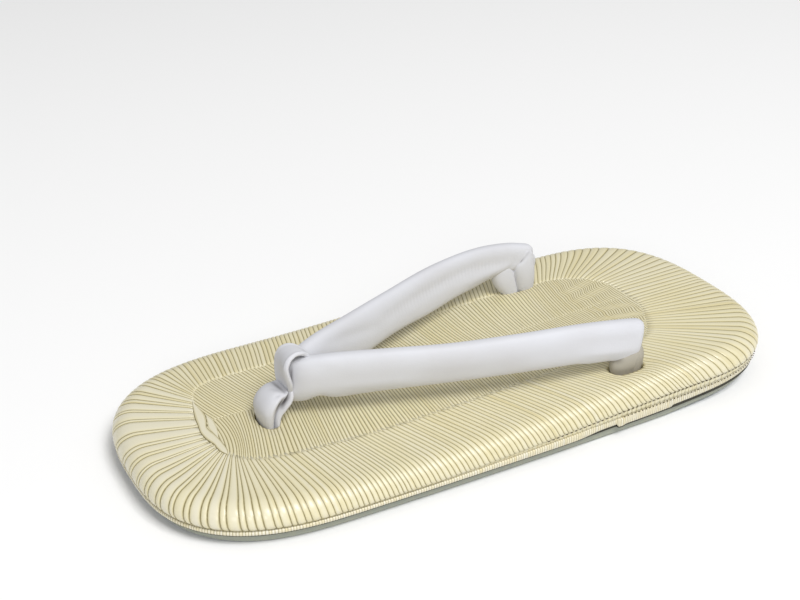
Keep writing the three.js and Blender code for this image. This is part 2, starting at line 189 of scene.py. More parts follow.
@dataclass(frozen=True)
class MatFinish:
    """Embossed vinyl with cream, white and straw ribs, and darker lines between them."""

    name: str = "mat_vinyl"
    cream: Colour = srgb(222, 214, 180)
    white: Colour = srgb(222, 216, 192)
    straw: Colour = srgb(213, 201, 155)
    halo: Colour = srgb(204, 193, 144)
    line: Colour = srgb(112, 100, 58)
    roughness: float = 0.36
    grain_scale: float = 2600.0
    grain_depth: float = 0.012

    def material(self) -> bpy.types.Material:
        """Builds the material. It reads the ribs' tone and lines from the mesh."""
        graph = Graph(self.name)
        place = graph.place()
        tone = graph.attribute("tone")
        pale = graph.mix(graph.span(tone, 0.45, 0.95), self.cream, self.white)
        rib = graph.mix(graph.span(tone, 0.42, 0.05), pale, self.straw)
        cloud = graph.noise(place, 60.0, 3.0)
        rib = graph.mix(graph.span(cloud, 0.5, 0.8, 0.0, 0.35), rib, self.white)
        rib = graph.mix(graph.span(cloud, 0.5, 0.25, 0.0, 0.25), rib, self.straw)
        fleck = graph.noise(place, 900.0, 2.0)
        depth = graph.attribute("line")
        colour = graph.mix(graph.span(depth, 0.02, 0.4, 0.0, 0.75), rib, self.halo)
        groove = graph.math("MULTIPLY", graph.span(depth, 0.2, 0.95), graph.span(fleck, 0.25, 0.6, 0.72, 1.0))
        colour = graph.mix(groove, colour, self.line)
        grain = graph.noise(place, self.grain_scale, 3.0)
        rough = graph.span(grain, 0.3, 0.7, self.roughness - 0.05, self.roughness + 0.08)
        return graph.finish(Base_Color=colour, Roughness=rough, Coat_Weight=0.32, Coat_Roughness=0.19,
                            Normal=graph.bump(grain, self.grain_depth))


@dataclass(frozen=True)
class SoleFinish:
    """Grey-blue sheet with a pebbled grain, paler on its cut edge."""

    name: str = "pebbled_sheet"
    body: Colour = srgb(128, 141, 142)
    high: Colour = srgb(156, 169, 170)
    low: Colour = srgb(96, 108, 110)
    cut: Colour = srgb(160, 162, 146)
    roughness: float = 0.62
    pebble_scale: float = 900.0
    pebble_depth: float = 0.22

    def material(self) -> bpy.types.Material:
        """Builds the material. The pebbles face down, and the cut edge is plain."""
        graph = Graph(self.name)
        place = graph.place()
        warp = graph.add("TexNoise", {"Vector": place, "Scale": 700.0, "Detail": 1.0}).outputs["Color"]
        bent = graph.add("MixRGB", {0: 0.0012, 1: place, 2: warp}, blend_type="ADD").outputs[0]
        pebble = graph.cells(bent, self.pebble_scale, 0.35)
        tone = graph.mix(graph.span(pebble, 0.15, 0.75), self.high, self.low)
        tone = graph.mix(graph.span(graph.noise(place, 90.0, 3.0), 0.35, 0.7), tone, self.body)
        normal = graph.add("NewGeometry", {}).outputs["Normal"]
        upright = graph.add("SeparateXYZ", {0: normal}).outputs[2]
        side = graph.span(upright, -0.96, -0.85)
        edge = graph.mix(graph.span(graph.noise(place, 500.0, 3.0), 0.3, 0.7, 0.0, 0.35), self.cut, self.body)
        height = graph.math("MULTIPLY", pebble, graph.span(side, 0.0, 1.0, -1.0, -0.12))
        return graph.finish(Base_Color=graph.mix(side, tone, edge), Roughness=self.roughness,
                            Normal=graph.bump(height, self.pebble_depth))


@dataclass(frozen=True)
class RubberFinish:
    """Amber rubber with faint mottling and a painted highlight on its edges."""

    name: str = "amber_rubber"
    body: Colour = srgb(98, 70, 12)
    deep: Colour = srgb(74, 50, 6)
    # paler amber for the painted highlight on the convex edges
    rim: Colour = srgb(126, 96, 32)
    roughness: float = 0.36

    def material(self) -> bpy.types.Material:
        """Builds the material."""
        graph = Graph(self.name)
        place = graph.place()
        mottle = graph.noise(place, 55.0, 4.0)
        colour = graph.mix(graph.span(mottle, 0.3, 0.7), self.deep, self.body)
        # Convex edges get the paler colour: a painted highlight where light catches the pad's rim.
        painted_highlight_edges = graph.add("NewGeometry", {}).outputs["Pointiness"]
        colour = graph.mix(graph.span(painted_highlight_edges, 0.505, 0.56), colour, self.rim)
        fine = graph.noise(place, 1500.0, 2.0)
        rough = graph.span(fine, 0.3, 0.7, self.roughness - 0.04, self.roughness + 0.12)
        return graph.finish(Base_Color=colour, Roughness=rough, Subsurface_Weight=0.05,
                            Normal=graph.bump(fine, 0.02))


@dataclass(frozen=True)
class LeatherFinish:
    """Smooth white leather with a fine grain and painted shade in its folds."""

    name: str = "white_leather"
    skin: Colour = srgb(208, 209, 214)
    shade: Colour = srgb(199, 198, 201)
    # colour of the painted shade in the folds
    fold: Colour = srgb(84, 80, 80)
    roughness: float = 0.58
    grain_scale: float = 1500.0
    grain_depth: float = 0.018

    def material(self) -> bpy.types.Material:
        """Builds the material. It reads from the mesh how much painted shade a fold gets."""
        graph = Graph(self.name)
        place = graph.place()
        cloud = graph.noise(place, 45.0, 3.0)
        colour = graph.mix(graph.span(cloud, 0.35, 0.75, 0.0, 0.5), self.skin, self.shade)
        # Painted shade in the folds, as the strap's creases mark it
        colour = graph.mix(graph.attribute("fold"), colour, self.fold)
        pore = graph.cells(place, self.grain_scale, 0.5)
        fibre = graph.noise(place, 4200.0, 2.0)
        grain = graph.math("ADD", pore, graph.math("MULTIPLY", fibre, 0.4))
        rough = graph.span(fibre, 0.3, 0.7, self.roughness - 0.05, self.roughness + 0.07)
        return graph.finish(Base_Color=colour, Roughness=rough, Specular_IOR_Level=0.32,
                            Normal=graph.bump(grain, self.grain_depth))


@dataclass(frozen=True)
class ThreadFinish:
    """Twisted olive thread. A darker copy also paints the shadow in the gap under the binding."""

    name: str = "olive_thread"
    body: Colour = srgb(92, 78, 44)
    twist: Colour = srgb(52, 42, 22)

    def material(self) -> bpy.types.Material:
        """Builds the material."""
        graph = Graph(self.name)
        strand = graph.noise(graph.place(), 2400.0, 2.0)
        colour = graph.mix(graph.span(strand, 0.35, 0.65), self.twist, self.body)
        return graph.finish(Base_Color=colour, Roughness=0.7, Normal=graph.bump(strand, 0.03))


@dataclass(frozen=True)
class FloorFinish:
    """Matt white paper."""

    name: str = "white_paper"
    tone: Colour = (0.93, 0.93, 0.93)

    def material(self) -> bpy.types.Material:
        """Builds the material."""
        graph = Graph(self.name)
        return graph.finish(Base_Color=self.tone, Roughness=0.9, Specular_IOR_Level=0.1)


class Sheet(NamedTuple):
    """Rows of points across columns, with what the mesh carries at each."""

    points: np.ndarray  # rows, columns, 3
    marks: dict[str, np.ndarray]  # name to rows, columns


def solid_from(name: str, sheet: Sheet, ring: bool) -> bpy.types.Object:
    """Makes a closed mesh whose rows run round a section and whose columns follow a path.

    Args:
        name: the piece's name.
        sheet: the points, rows first, and their marks.
        ring: whether the path closes on itself; if not, both ends get a cap.

    Returns:
        The new object, in metres.
    """
    rows, columns, _ = sheet.points.shape
    index = np.arange(rows * columns).reshape(rows, columns)
    here = index if ring else index[:, :-1]
    there = np.roll(index, -1, axis=1) if ring else index[:, 1:]
    quads = np.stack([here, there, np.roll(there, -1, axis=0), np.roll(here, -1, axis=0)], -1)
    faces = quads.reshape(-1, 4).tolist()
    if not ring:
        faces += [index[:, 0].tolist(), index[::-1, -1].tolist()]
    mesh = bpy.data.meshes.new(name)
    mesh.from_pydata((sheet.points.reshape(-1, 3) * MM).tolist(), [], faces)
    for mark, values in sheet.marks.items():
        layer = mesh.attributes.new(mark, "FLOAT", "POINT")
        layer.data.foreach_set("value", values.astype(np.float32).ravel())
    built = bmesh.new()
    built.from_mesh(mesh)
    if built.calc_volume(signed=True) < 0:
        bmesh.ops.reverse_faces(built, faces=built.faces)
    built.to_mesh(mesh)
    built.free()
    mesh.shade_smooth()
    thing = bpy.data.objects.new(name, mesh)
    bpy.context.collection.objects.link(thing)
    return thing


class Bench:
    """Shapes one object with the modelling operators."""

    def __init__(self, thing: bpy.types.Object) -> None:
        """Takes an object that is to be shaped."""
        self.thing = thing

    @staticmethod
    def clear() -> None:
        """Deselects everything."""
        if bpy.context.mode != "OBJECT":
            bpy.ops.object.mode_set(mode="OBJECT")
        bpy.ops.object.select_all(action="DESELECT")

    @classmethod
    def loop(cls, name: str, count: int) -> "Bench":
        """Adds a circle of that many points and opens it for editing."""
        cls.clear()
        bpy.ops.mesh.primitive_circle_add(vertices=count, radius=1.0, fill_type="NOTHING")
        bench = cls(bpy.context.object)
        bench.thing.name = name
        bench.thing.data.name = name
        bpy.ops.object.mode_set(mode="EDIT")
        bpy.ops.mesh.select_all(action="SELECT")
        return bench

    def place(self, points: np.ndarray) -> None:
        """Moves the selected loop to points in millimetres, first one first."""
        mesh = bmesh.from_edit_mesh(self.thing.data)
        chosen = sorted((v for v in mesh.verts if v.select), key=lambda v: v.index)
        for vertex, point in zip(chosen, points, strict=True):
            vertex.co = Vector(point) * MM
        bmesh.update_edit_mesh(self.thing.data)

    def mark(self, marks: dict[str, np.ndarray]) -> None:
        """Gives the selected loop numbers that its extrusions take over."""
        mesh = bmesh.from_edit_mesh(self.thing.data)
        for name, values in marks.items():
            layer = mesh.verts.layers.float.new(name)
            chosen = sorted((v for v in mesh.verts if v.select), key=lambda v: v.index)
            for vertex, value in zip(chosen, values, strict=True):
                vertex[layer] = float(value)
        bmesh.update_edit_mesh(self.thing.data)

    def extrude(self, points: np.ndarray) -> None:
        """Extrudes the selected loop and moves the new one to points."""
        bpy.ops.mesh.extrude_edges_move()
        bmesh.from_edit_mesh(self.thing.data).verts.index_update()
        self.place(points)

    def select(self, test: Callable[[bmesh.types.BMFace], bool]) -> None:
        """Selects only the faces that pass the test."""
        bpy.ops.mesh.select_mode(type="FACE")
        bpy.ops.mesh.select_all(action="DESELECT")
        mesh = bmesh.from_edit_mesh(self.thing.data)
        for face in mesh.faces:
            face.select = test(face)
        mesh.select_flush(True)
        bmesh.update_edit_mesh(self.thing.data)

    def slice(self, stations: np.ndarray) -> None:
        """Cuts the whole mesh across at each x."""
        for x in stations:
            bpy.ops.mesh.select_all(action="SELECT")
            bpy.ops.mesh.bisect(plane_co=(x * MM, 0, 0), plane_no=(1, 0, 0))

    def shape(self, move: Callable[[Vector], Vector]) -> None:
        """Moves every point as move says, in millimetres."""
        mesh = bmesh.from_edit_mesh(self.thing.data)
        for vertex in mesh.verts:
            vertex.co = move(vertex.co / MM) * MM
        bmesh.update_edit_mesh(self.thing.data)

    def close(self, angle: float = 40.0) -> bpy.types.Object:
        """Turns the faces out, leaves edit mode, smooths gentle edges and returns the object."""
        bpy.ops.mesh.select_all(action="SELECT")
        bpy.ops.mesh.remove_doubles(threshold=1e-6)
        bpy.ops.mesh.normals_make_consistent(inside=False)
        bpy.ops.object.mode_set(mode="OBJECT")
        self.thing.select_set(True)
        bpy.context.view_layer.objects.active = self.thing
        bpy.ops.object.shade_smooth_by_angle(angle=math.radians(angle))
        self.clear()
        return self.thing


def dress(thing: bpy.types.Object, finish: object, nodes: tuple[str, ...]) -> bpy.types.Object:
    """Gives a new piece its material, body, slot and the nodes that it stands for.

    Args:
        thing: the piece.
        finish: a finish with a material method.
        nodes: names of the nodes that it replaces.

    Returns:
        The piece.
    """
    made = bpy.data.materials.get(finish.name) or finish.material()
    thing.data.materials.clear()
    thing.data.materials.append(made)
    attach(thing, BODY)
    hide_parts(*nodes)
    log.info("%s: %d faces", thing.name, len(thing.data.polygons))
    return thing


@dataclass
class Outline:
    """The outsole's outline and the heights that follow it, as in the part's source, and the heel's tuck."""

    toe_width: float = 107.0
    heel_width: float = 107.0
    side_bulge: float = 2.2
    toe_round: float = 63.0
    heel_round: float = 51.0
    toe_power: float = 2.87
    heel_power: float = 2.84
    sole: float = 4.4
    front_height: float = 14.6
    heel_lift: float = 5.6
    lift_start: float = 55.0
    lift_end: float = -91.0
    seam_height: float = 6.3
    binding_front: float = 1.6
    binding_heel: float = 4.4
    binding_tuck: float = 0.9
    patch: float = 1.5
    patch_front: float = -88.0
    patch_ledge: float = 6.0
    patch_ramp: float = 45.0
    heel_tuck_start: float = 68.0
    heel_tuck_end: float = 112.0
    toe_spring: float = 1.2
    toe_spring_length: float = 32.0
    samples: int = 6000
    length: float = field(init=False)
    walk: np.ndarray = field(init=False)
    line: np.ndarray = field(init=False)
    out: np.ndarray = field(init=False)

    def __post_init__(self) -> None:
        """Reads the length from the frame and walks once round the outline."""
        low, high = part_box("outsole")
        self.length = (high[0] - low[0]) / MM
        half = self.length / 2
        turn = np.linspace(0, math.pi, self.samples // 2 + 1)
        x = -half * np.cos(turn)
        left = np.stack([x, self.half_width(x)], -1)
        left[[0, -1], 1] = 0
        whole = np.vstack([left, (left * [1, -1])[-2:0:-1], left[:1]])
        walk = np.append(0, np.cumsum(np.linalg.norm(np.diff(whole, axis=0), axis=1)))
        self.walk = walk / walk[-1]
        even = np.linspace(0, 1, self.samples + 1)
        self.line = np.stack([np.interp(even, self.walk, whole[:, k]) for k in (0, 1)], -1)
        along = np.roll(self.line[:-1], -1, axis=0) - np.roll(self.line[:-1], 1, axis=0)
        along /= np.linalg.norm(along, axis=1)[:, None]
        normal = np.stack([-along[:, 1], along[:, 0]], -1)
        self.out = np.vstack([normal, normal[:1]])
        self.walk = even

    def half_width(self, x: np.ndarray) -> np.ndarray:
        """Returns half the outsole's width at x."""
        share = np.asarray(x, float) / self.length + 0.5
        straight = (self.heel_width + (self.toe_width - self.heel_width) * share) / 2
        bowed = straight + self.side_bulge * 4 * share * (1 - share)
        toe = np.clip((x - self.length / 2 + self.toe_round) / self.toe_round, 0, 1)
        heel = np.clip((self.heel_round - self.length / 2 - x) / self.heel_round, 0, 1)
        rounded = (1 - toe ** self.toe_power) ** (1 / self.toe_power)
        return bowed * rounded * (1 - heel ** self.heel_power) ** (1 / self.heel_power)

    def at(self, share: np.ndarray, offset: np.ndarray | float = 0.0) -> np.ndarray:
        """Returns the plan points at shares of the way round, moved out by the offset."""
        share = np.mod(share, 1.0)
        line = np.stack([np.interp(share, self.walk, self.line[:, k]) for k in (0, 1)], -1)
        return line + self.normal(share) * np.asarray(offset, float)[..., None]

    def normal(self, share: np.ndarray) -> np.ndarray:
        """Returns the outward directions at shares of the way round."""
        share = np.mod(share, 1.0)
        out = np.stack([np.interp(share, self.walk, self.out[:, k]) for k in (0, 1)], -1)
        return out / np.linalg.norm(out, axis=-1)[..., None]

    def nearest(self, points: np.ndarray) -> np.ndarray:
        """Returns the share of the way round that lies nearest to each plan point."""
        gaps = np.linalg.norm(np.asarray(points, float)[:, None] - self.line[None, :-1], axis=-1)
        return self.walk[np.argmin(gaps, axis=1)]

    def round_length(self) -> float:
        """Returns the way round, in millimetres."""
        return float(np.linalg.norm(np.diff(self.line, axis=0), axis=1).sum())

    def heel_share(self, x: np.ndarray) -> np.ndarray:
        """Returns 0 at the forefoot and 1 under the heel."""
        return 1 - smoothstep(x, self.lift_end, self.lift_start)

    def top(self, x: np.ndarray) -> np.ndarray:
        """Returns the height of the footbed."""
        return self.front_height + self.heel_lift * self.heel_share(x)

    def seam(self, x: np.ndarray) -> np.ndarray:
        """Returns the height of the seam under the rolled rim."""
        return self.seam_height + self.heel_lift * self.heel_share(x)

    def binding_top(self, x: np.ndarray) -> np.ndarray:
        """Returns the height of the binding's upper edge."""
        rise = self.binding_heel - self.binding_front
        return self.sole + self.binding_front + rise * self.heel_share(x) + self.binding_tuck * self.tucked(x)

    def tucked(self, x: np.ndarray) -> np.ndarray:
        """Returns 0, rising to 1 round the heel's end, where the sole is drawn in and up."""
        return smoothstep(-np.asarray(x, float), self.heel_tuck_start, self.heel_tuck_end)

    def underside(self, x: float) -> float:
        """Returns how far the outsole's underside is off the floor."""
        ledge = self.patch_front + self.patch_ledge
        heel = 1 - float(smoothstep(x, ledge, ledge + self.patch_ramp))
        tip = min(max((x - self.length / 2 + self.toe_spring_length) / self.toe_spring_length, 0), 1)
        return self.toe_spring * tip * tip + self.patch * heel


@dataclass
class RibStyle:
    """Section of the embossed ribs."""

    depth: float = 0.24
    crown: float = 0.08
    line: float = 0.24
    least_share: float = 0.17

    def columns(self, edges: np.ndarray, tones: np.ndarray) -> dict[str, np.ndarray]:
        """Lays six columns over each rib.

        Args:
            edges: rising positions of the lines between the ribs, one more than there are ribs.
            tones: the tone of each rib.

        Returns:
            The columns' position, lift, line and tone.
        """
        width = np.diff(edges)
        line = np.minimum(self.line, self.least_share * width)
        body = width - 2 * line
        steps = np.stack([0 * width, line, line + 0.22 * body, line + 0.5 * body,
                          line + 0.78 * body, line + body], -1)
        lift = np.array([-self.depth, -0.2 * self.depth, 0.65 * self.crown, self.crown,
                         0.65 * self.crown, -0.2 * self.depth])
        dark = np.array([1.0, 0.22, 0.0, 0.0, 0.0, 0.22])
        count = len(width)
        return {
            "at": (edges[:-1, None] + steps).ravel(),
            "lift": np.tile(lift, count),
            "line": np.tile(dark, count),
            "tone": np.repeat(tones, 6),
        }


class KeyRib(NamedTuple):
    """One listed rib of the border. The ribs between two key ribs follow both."""

    inner_x: float
    inner_y: float
    outer_x: float
    outer_y: float
    pitch: float
    paired: float  # 0 for even ribs, 1 for a broad one and a fine one by turns
    pale: float  # how white the ribs are


@dataclass
class Footbed:
    """The padded footbed: its rolled border, two panels of ribs, and two pointed leaves at the toe."""

    outline: Outline
    finish: MatFinish = MatFinish()
    ribs: RibStyle = field(default_factory=RibStyle)
    panel_ribs: RibStyle = field(default_factory=lambda: RibStyle(line=0.24, least_share=0.18))
    overhang: float = 2.6
    roll: float = 8.0
    droop: float = 2.0
    tuck: float = 0.9
    proud: float = 0.5
    binding_depth: float = 3.4
    gap: float = 0.3
    border_rows: int = 13
    roll_rows: int = 9
    turn: float = 0.2
    tip: float = 1.2
    streak: float = 0.13
    arc: float = 6.5
    wall_lean: float = 2.2
    strip_line: float = 0.42
    pitch_left: float = 1.22
    pitch_right: float = 1.32
    panel_row: float = 1.5
    tuck_under: float = 1.5
    end_sink: float = 0.3
    middle_toe: float = -7.0
    middle_heel: float = -3.0
    middle_span: tuple[float, float] = (-40.0, 90.0)
    swirl_start: float = -60.0
    swirl_length: float = 12.0
    swirl_wave: float = 9.0
    swirl_reach: float = 0.9
    swirl_end: tuple[float, float] = (-90.0, -82.0)
    swirl_slant: float = 0.16
    swirl_width: float = 27.0
    wave: float = 0.5
    wave_length: float = 8.0
    toe_hole_x: float = 79.2
    toe_hole_y: float = 1.5
    toe_hole: tuple[float, float] = (8.0, 13.8)
    dip: float = 0.8
    dip_reach: float = 0.6
    rear_hole_x: float = -54.5
    rear_middle_y: float = 3.0
    rear_hole_spread: float = 38.7
    rear_hole: tuple[float, float] = (15.0, 9.2)
    hole_points: int = 48
    hole_power: float = 2.5
    plug_height: float = 24.0
    leaf_points: int = 100
    leaf_tone: float = 0.86
    leaf_sink: float = 0.1
    panel_tone: tuple[float, float] = (0.42, 0.08)
    panel_margin: float = 0.4
    lean_limit: float = 1.6
    crowding: float = 0.92
    seed: int = 7

    KEYS = (
        KeyRib(-90.5, -8, -131, -8, 2.5, 0, 0.45),
        KeyRib(-90.3, 2, -131, 2, 2.4, 0, 0.40),
        KeyRib(-88.5, 8, -130.5, 12, 2.5, 0, 0.35),
        KeyRib(-86, 13, -128, 23, 2.6, 0, 0.35),
        KeyRib(-83, 18, -122.5, 34, 2.7, 0, 0.40),
        KeyRib(-79, 23.5, -113, 44.5, 2.7, 0, 0.45),
        KeyRib(-74, 27.5, -99, 51.5, 2.6, 0, 0.50),
        KeyRib(-66, 29.5, -85, 55, 2.4, 0, 0.50),
        KeyRib(-46, 30, -66, 56, 2.0, 0, 0.50),
        KeyRib(-20, 29.5, -33, 57, 1.95, 0, 0.45),
        KeyRib(10, 29, -2, 57, 1.95, 0, 0.45),
        KeyRib(30, 28.8, 18.5, 57, 1.95, 0, 0.45),
        KeyRib(50, 28.5, 40.5, 56.5, 1.85, 0, 0.50),
        KeyRib(66, 27.5, 58.5, 56, 1.7, 0, 0.50),
        KeyRib(76, 26.8, 70, 56, 2.0, 0, 0.50),
        KeyRib(85, 25.5, 80.5, 55, 2.2, 0, 0.55),
        KeyRib(92, 23.5, 91, 53, 1.95, 0.2, 0.60),
        KeyRib(96.5, 20.5, 101, 51, 1.8, 0.3, 0.62),
        KeyRib(99, 17.5, 111, 46.5, 1.7, 0.3, 0.65),
        KeyRib(100.8, 15, 120, 39, 1.75, 0.35, 0.68),
        KeyRib(102.4, 12, 126.5, 29, 2.0, 0.45, 0.72),
        KeyRib(103.8, 8, 130, 16, 2.6, 0.7, 0.80),
        KeyRib(104.8, 3, 131, 3, 3.1, 0.8, 0.85),
        KeyRib(104.6, -3, 130.5, -9, 3.2, 0.8, 0.88),
        KeyRib(103.4, -9, 128.5, -20, 3.0, 0.8, 0.82),
        KeyRib(102, -15, 125, -30, 2.5, 0.7, 0.74),
        KeyRib(100, -20, 119, -39, 2.1, 0.5, 0.62),
        KeyRib(98.4, -24.5, 111, -45.5, 1.9, 0.3, 0.50),
        KeyRib(97, -28, 103.5, -49.5, 1.8, 0.1, 0.42),
        KeyRib(94.5, -31, 95, -52, 2.0, 0, 0.40),
        KeyRib(88, -33.5, 86, -54, 1.9, 0, 0.40),
        KeyRib(80, -34, 75.5, -55.5, 1.8, 0, 0.35),
        KeyRib(70, -34, 63, -56, 1.8, 0, 0.35),
        KeyRib(50, -34, 42, -56.5, 1.85, 0, 0.35),
        KeyRib(20, -34, 10.5, -57, 1.9, 0, 0.35),
        KeyRib(-10, -34, -20, -57, 1.9, 0, 0.35),
        KeyRib(-40, -34, -51, -56, 1.9, 0, 0.40),
        KeyRib(-55, -33.8, -68, -55.5, 2.0, 0, 0.40),
        KeyRib(-66, -32.5, -83, -54, 2.2, 0, 0.40),
        KeyRib(-74, -30.5, -97, -51, 2.4, 0, 0.40),
        KeyRib(-80, -27.5, -110, -46, 2.5, 0, 0.45),
        KeyRib(-84.5, -24, -120, -37.5, 2.6, 0, 0.50),
        KeyRib(-88, -19, -127, -26, 2.6, 0, 0.55),
        KeyRib(-90, -14, -130, -16, 2.6, 0, 0.55),
    )
    # How far each of a rib's columns runs on into the point at its inner end
    TIP = (0, 0.3, 0.8, 1, 0.8, 0.3)
    # Outer and inner edges of the two leaves at the toe
    LEAF = (((99.3, -22.5), (100.6, -18.7), (101.9, -14.4), (102.9, -10.3), (103.5, -6.3), (104.3, -1.7),
             (104.4, 1.6), (104.0, 4.9), (103.0, 8.5), (102.9, 11.4), (102.4, 14.0), (101, 16.5)),
            ((99.3, -22.5), (99.0, -17.4), (98.5, -14.0), (98.5, -11.0), (99.4, -7.6), (100.9, -3.5),
             (100.8, -0.8), (100.2, 2.1), (99.9, 4.8), (99.7, 8.9), (99.9, 13.8), (101, 16.5)))
    INNER_LEAF = (((98.5, -10.4), (100.1, -5.5), (101.1, -2.1), (100.7, 1.3), (100.0, 5.4)),
                  ((98.5, -10.4), (97.1, -7.1), (97.2, -4.0), (98.0, -0.1), (100.0, 5.4)))
    # A leaf's section: share of the half width, lift, and how dark it is there
    LEAF_SECTION = ((-1.06, -0.2, 1.0), (-1.0, 0.06, 1.0), (-0.9, 0.12, 0.9), (-0.82, 0.19, 0.32),
                    (-0.6, 0.2, 0.25), (-0.52, 0.22, 0.0), (0.0, 0.23, 0.0), (0.52, 0.22, 0.0),
                    (0.6, 0.2, 0.25), (0.82, 0.19, 0.32), (0.9, 0.12, 0.9), (1.0, 0.06, 1.0),
                    (1.06, -0.2, 1.0), (1.0, -2.2, 0.0), (-1.0, -2.2, 0.0))
    # How far the panels' ribs run along the sandal for each millimetre away from the middle line, at x
    SLANT_X = (-92, -75, -60, -50, -40, -30, -20, 0, 10, 30, 40, 50, 70, 80, 88, 94, 100)
    SLANT_LEFT = (0, -0.05, -0.10, -0.08, -0.05, 0, 0.03, 0.05, 0.06, 0.08, 0.12, 0.19, 0.21, 0.26, 0.12,
                  -0.12, -0.15)
    SLANT_RIGHT = (0, -0.08, -0.17, -0.17, -0.11, -0.06, 0.02, 0.10, 0.13, 0.18, 0.20, 0.24, 0.30, 0.30,
                   0.27, 0.24, 0.2)
    # How far the left panel's ribs bend along the sandal, for each square millimetre away from that line
    CURL_LEFT = (0, 0, 0, 0, 0, 0, 0, 0, 0, 0, 0, 0, 0, 0.001, 0.0046, 0.0104, 0.012)

    def __post_init__(self) -> None:
        """Measures the key ribs once round."""
        keys = np.array(self.KEYS)
        inner, outer = keys[:, 0:2], keys[:, 2:4]
        share = self.outline.nearest(outer)
        share = np.where(np.arange(len(share)) < 1, share - (share > 0.5), share)
        share = np.unwrap(share * 2 * math.pi) / (2 * math.pi)
        middle = (inner + self.outline.at(share, self.overhang - self.roll)) / 2
        loop = np.vstack([middle, middle[:1]])
        self.walk = np.append(0, np.cumsum(np.linalg.norm(np.diff(loop, axis=0), axis=1)))
        wrap = 3
        whole = self.walk[-1]
        step = share[0] + math.copysign(1, share[-1] - share[0])
        rows = np.column_stack([inner, share, keys[:, 4:]])
        ahead = rows[:wrap + 1].copy()
        ahead[:, 2] += step - share[0]
        behind = rows[-wrap:].copy()
        behind[:, 2] -= step - share[0]
        self.key_walk = np.concatenate([self.walk[-1 - wrap:-1] - whole, self.walk[:-1],
                                        self.walk[:wrap + 1] + whole])
        self.key_rows = np.vstack([behind, rows, ahead])

    def holes(self) -> tuple[tuple[float, float, tuple[float, float]], ...]:
        """Returns x, y and size of the three strap holes."""
        rear = tuple((self.rear_hole_x, self.rear_middle_y + side * self.rear_hole_spread, self.rear_hole)
                     for side in (1, -1))
        return ((self.toe_hole_x, self.toe_hole_y, self.toe_hole), *rear)

    def height(self, plan: np.ndarray) -> np.ndarray:
        """Returns the height of the top, which dips softly round the strap holes."""
        height = self.outline.top(plan[:, 0])
        for x, y, size in self.holes():
            away = np.hypot((plan[:, 0] - x) * 2 / size[0], (plan[:, 1] - y) * 2 / size[1])
            height = height - self.dip * swell(np.maximum(away - 1, 0), self.dip_reach)
        return height

    def key(self, at: np.ndarray) -> np.ndarray:
        """Returns inner x and y, outer share, pitch, pairing and paleness at positions round the border."""
        return through(self.key_walk, self.key_rows, at)

    def border_edges(self) -> tuple[np.ndarray, np.ndarray]:
        """Returns the lines between the border's ribs, and the ribs' tones."""
        chance = np.random.default_rng(self.seed)
        whole = self.walk[-1]
        edges, tones = [0.0], []
        while edges[-1] < whole:
            _, _, _, pitch, paired, pale = self.key(np.array(edges[-1:]))[0]
            broad = len(tones) % 2 == 0
            loose = 0.12 + 0.2 * paired
            width = pitch * (1 + paired * (0.62 if broad else -0.68)) * chance.uniform(1 - loose, 1 + loose)
            tone = pale + (0.25 if broad else -0.35) * paired + chance.normal(0, 0.08)
            edges.append(edges[-1] + width)
            tones.append(tone)
        return np.array(edges) * whole / edges[-1], np.clip(tones, 0, 1)

    def border_sheet(self) -> Sheet:
        """Returns the border: its top, the rolled rim, the side down to the sole and the inner wall."""
        edges, tones = self.border_edges()
        columns = self.ribs.columns(edges, tones)
        streaks = np.random.default_rng(self.seed + 5).normal(0, self.streak, len(columns["tone"]))
        columns["tone"] = np.clip(columns["tone"] + streaks, 0, 1)
        at = columns["at"]
        wander = 0.3 * np.sin(at * 0.11) + 0.2 * np.sin(at * 0.31 + 2)
        inner = self.key(at + 0.4 * wander)[:, :2]
        share = self.key(at - 0.5 * wander)[:, 2]
        shape = self.outline
        normal = shape.normal(share)
        run = shape.at(share, np.full(len(at), self.overhang)) - inner
        tangent = np.column_stack([normal[:, 1], -normal[:, 0]])
        lean = (run * tangent).sum(1) / (run * normal).sum(1)
        lean = np.clip(lean, -self.lean_limit, self.lean_limit) / shape.round_length()
        flat = shape.at(share - lean * self.arc * math.pi / 2, np.full(len(at), self.overhang - self.roll))
        reach = np.linalg.norm(flat - inner, axis=1)[:, None]
        inward = (inner - flat) / reach
        tip = np.tile(self.TIP, len(edges) - 1) * np.minimum(self.tip, 0.4 * np.repeat(np.diff(edges), 6))
        inner = inner + inward * tip[:, None]
        first = inner + (flat - inner) * 0.4
        second = flat + (inward * (1 - self.turn) - normal * self.turn) * 0.33 * reach
        rows, darks = [], []

        def add(plan: np.ndarray, height: np.ndarray, slope: float, ribbing: float,
                dark: float = 1.0) -> None:
            """Adds a row, whose ribs stand out along a direction that is the slope's angle off upright."""
            lift = (columns["lift"] * ribbing)[:, None]
            side = math.sin(slope)
            moved = np.column_stack([plan + normal * side * lift, height + math.cos(slope) * lift[:, 0]])
            rows.append(moved)
            darks.append(columns["line"] * dark)

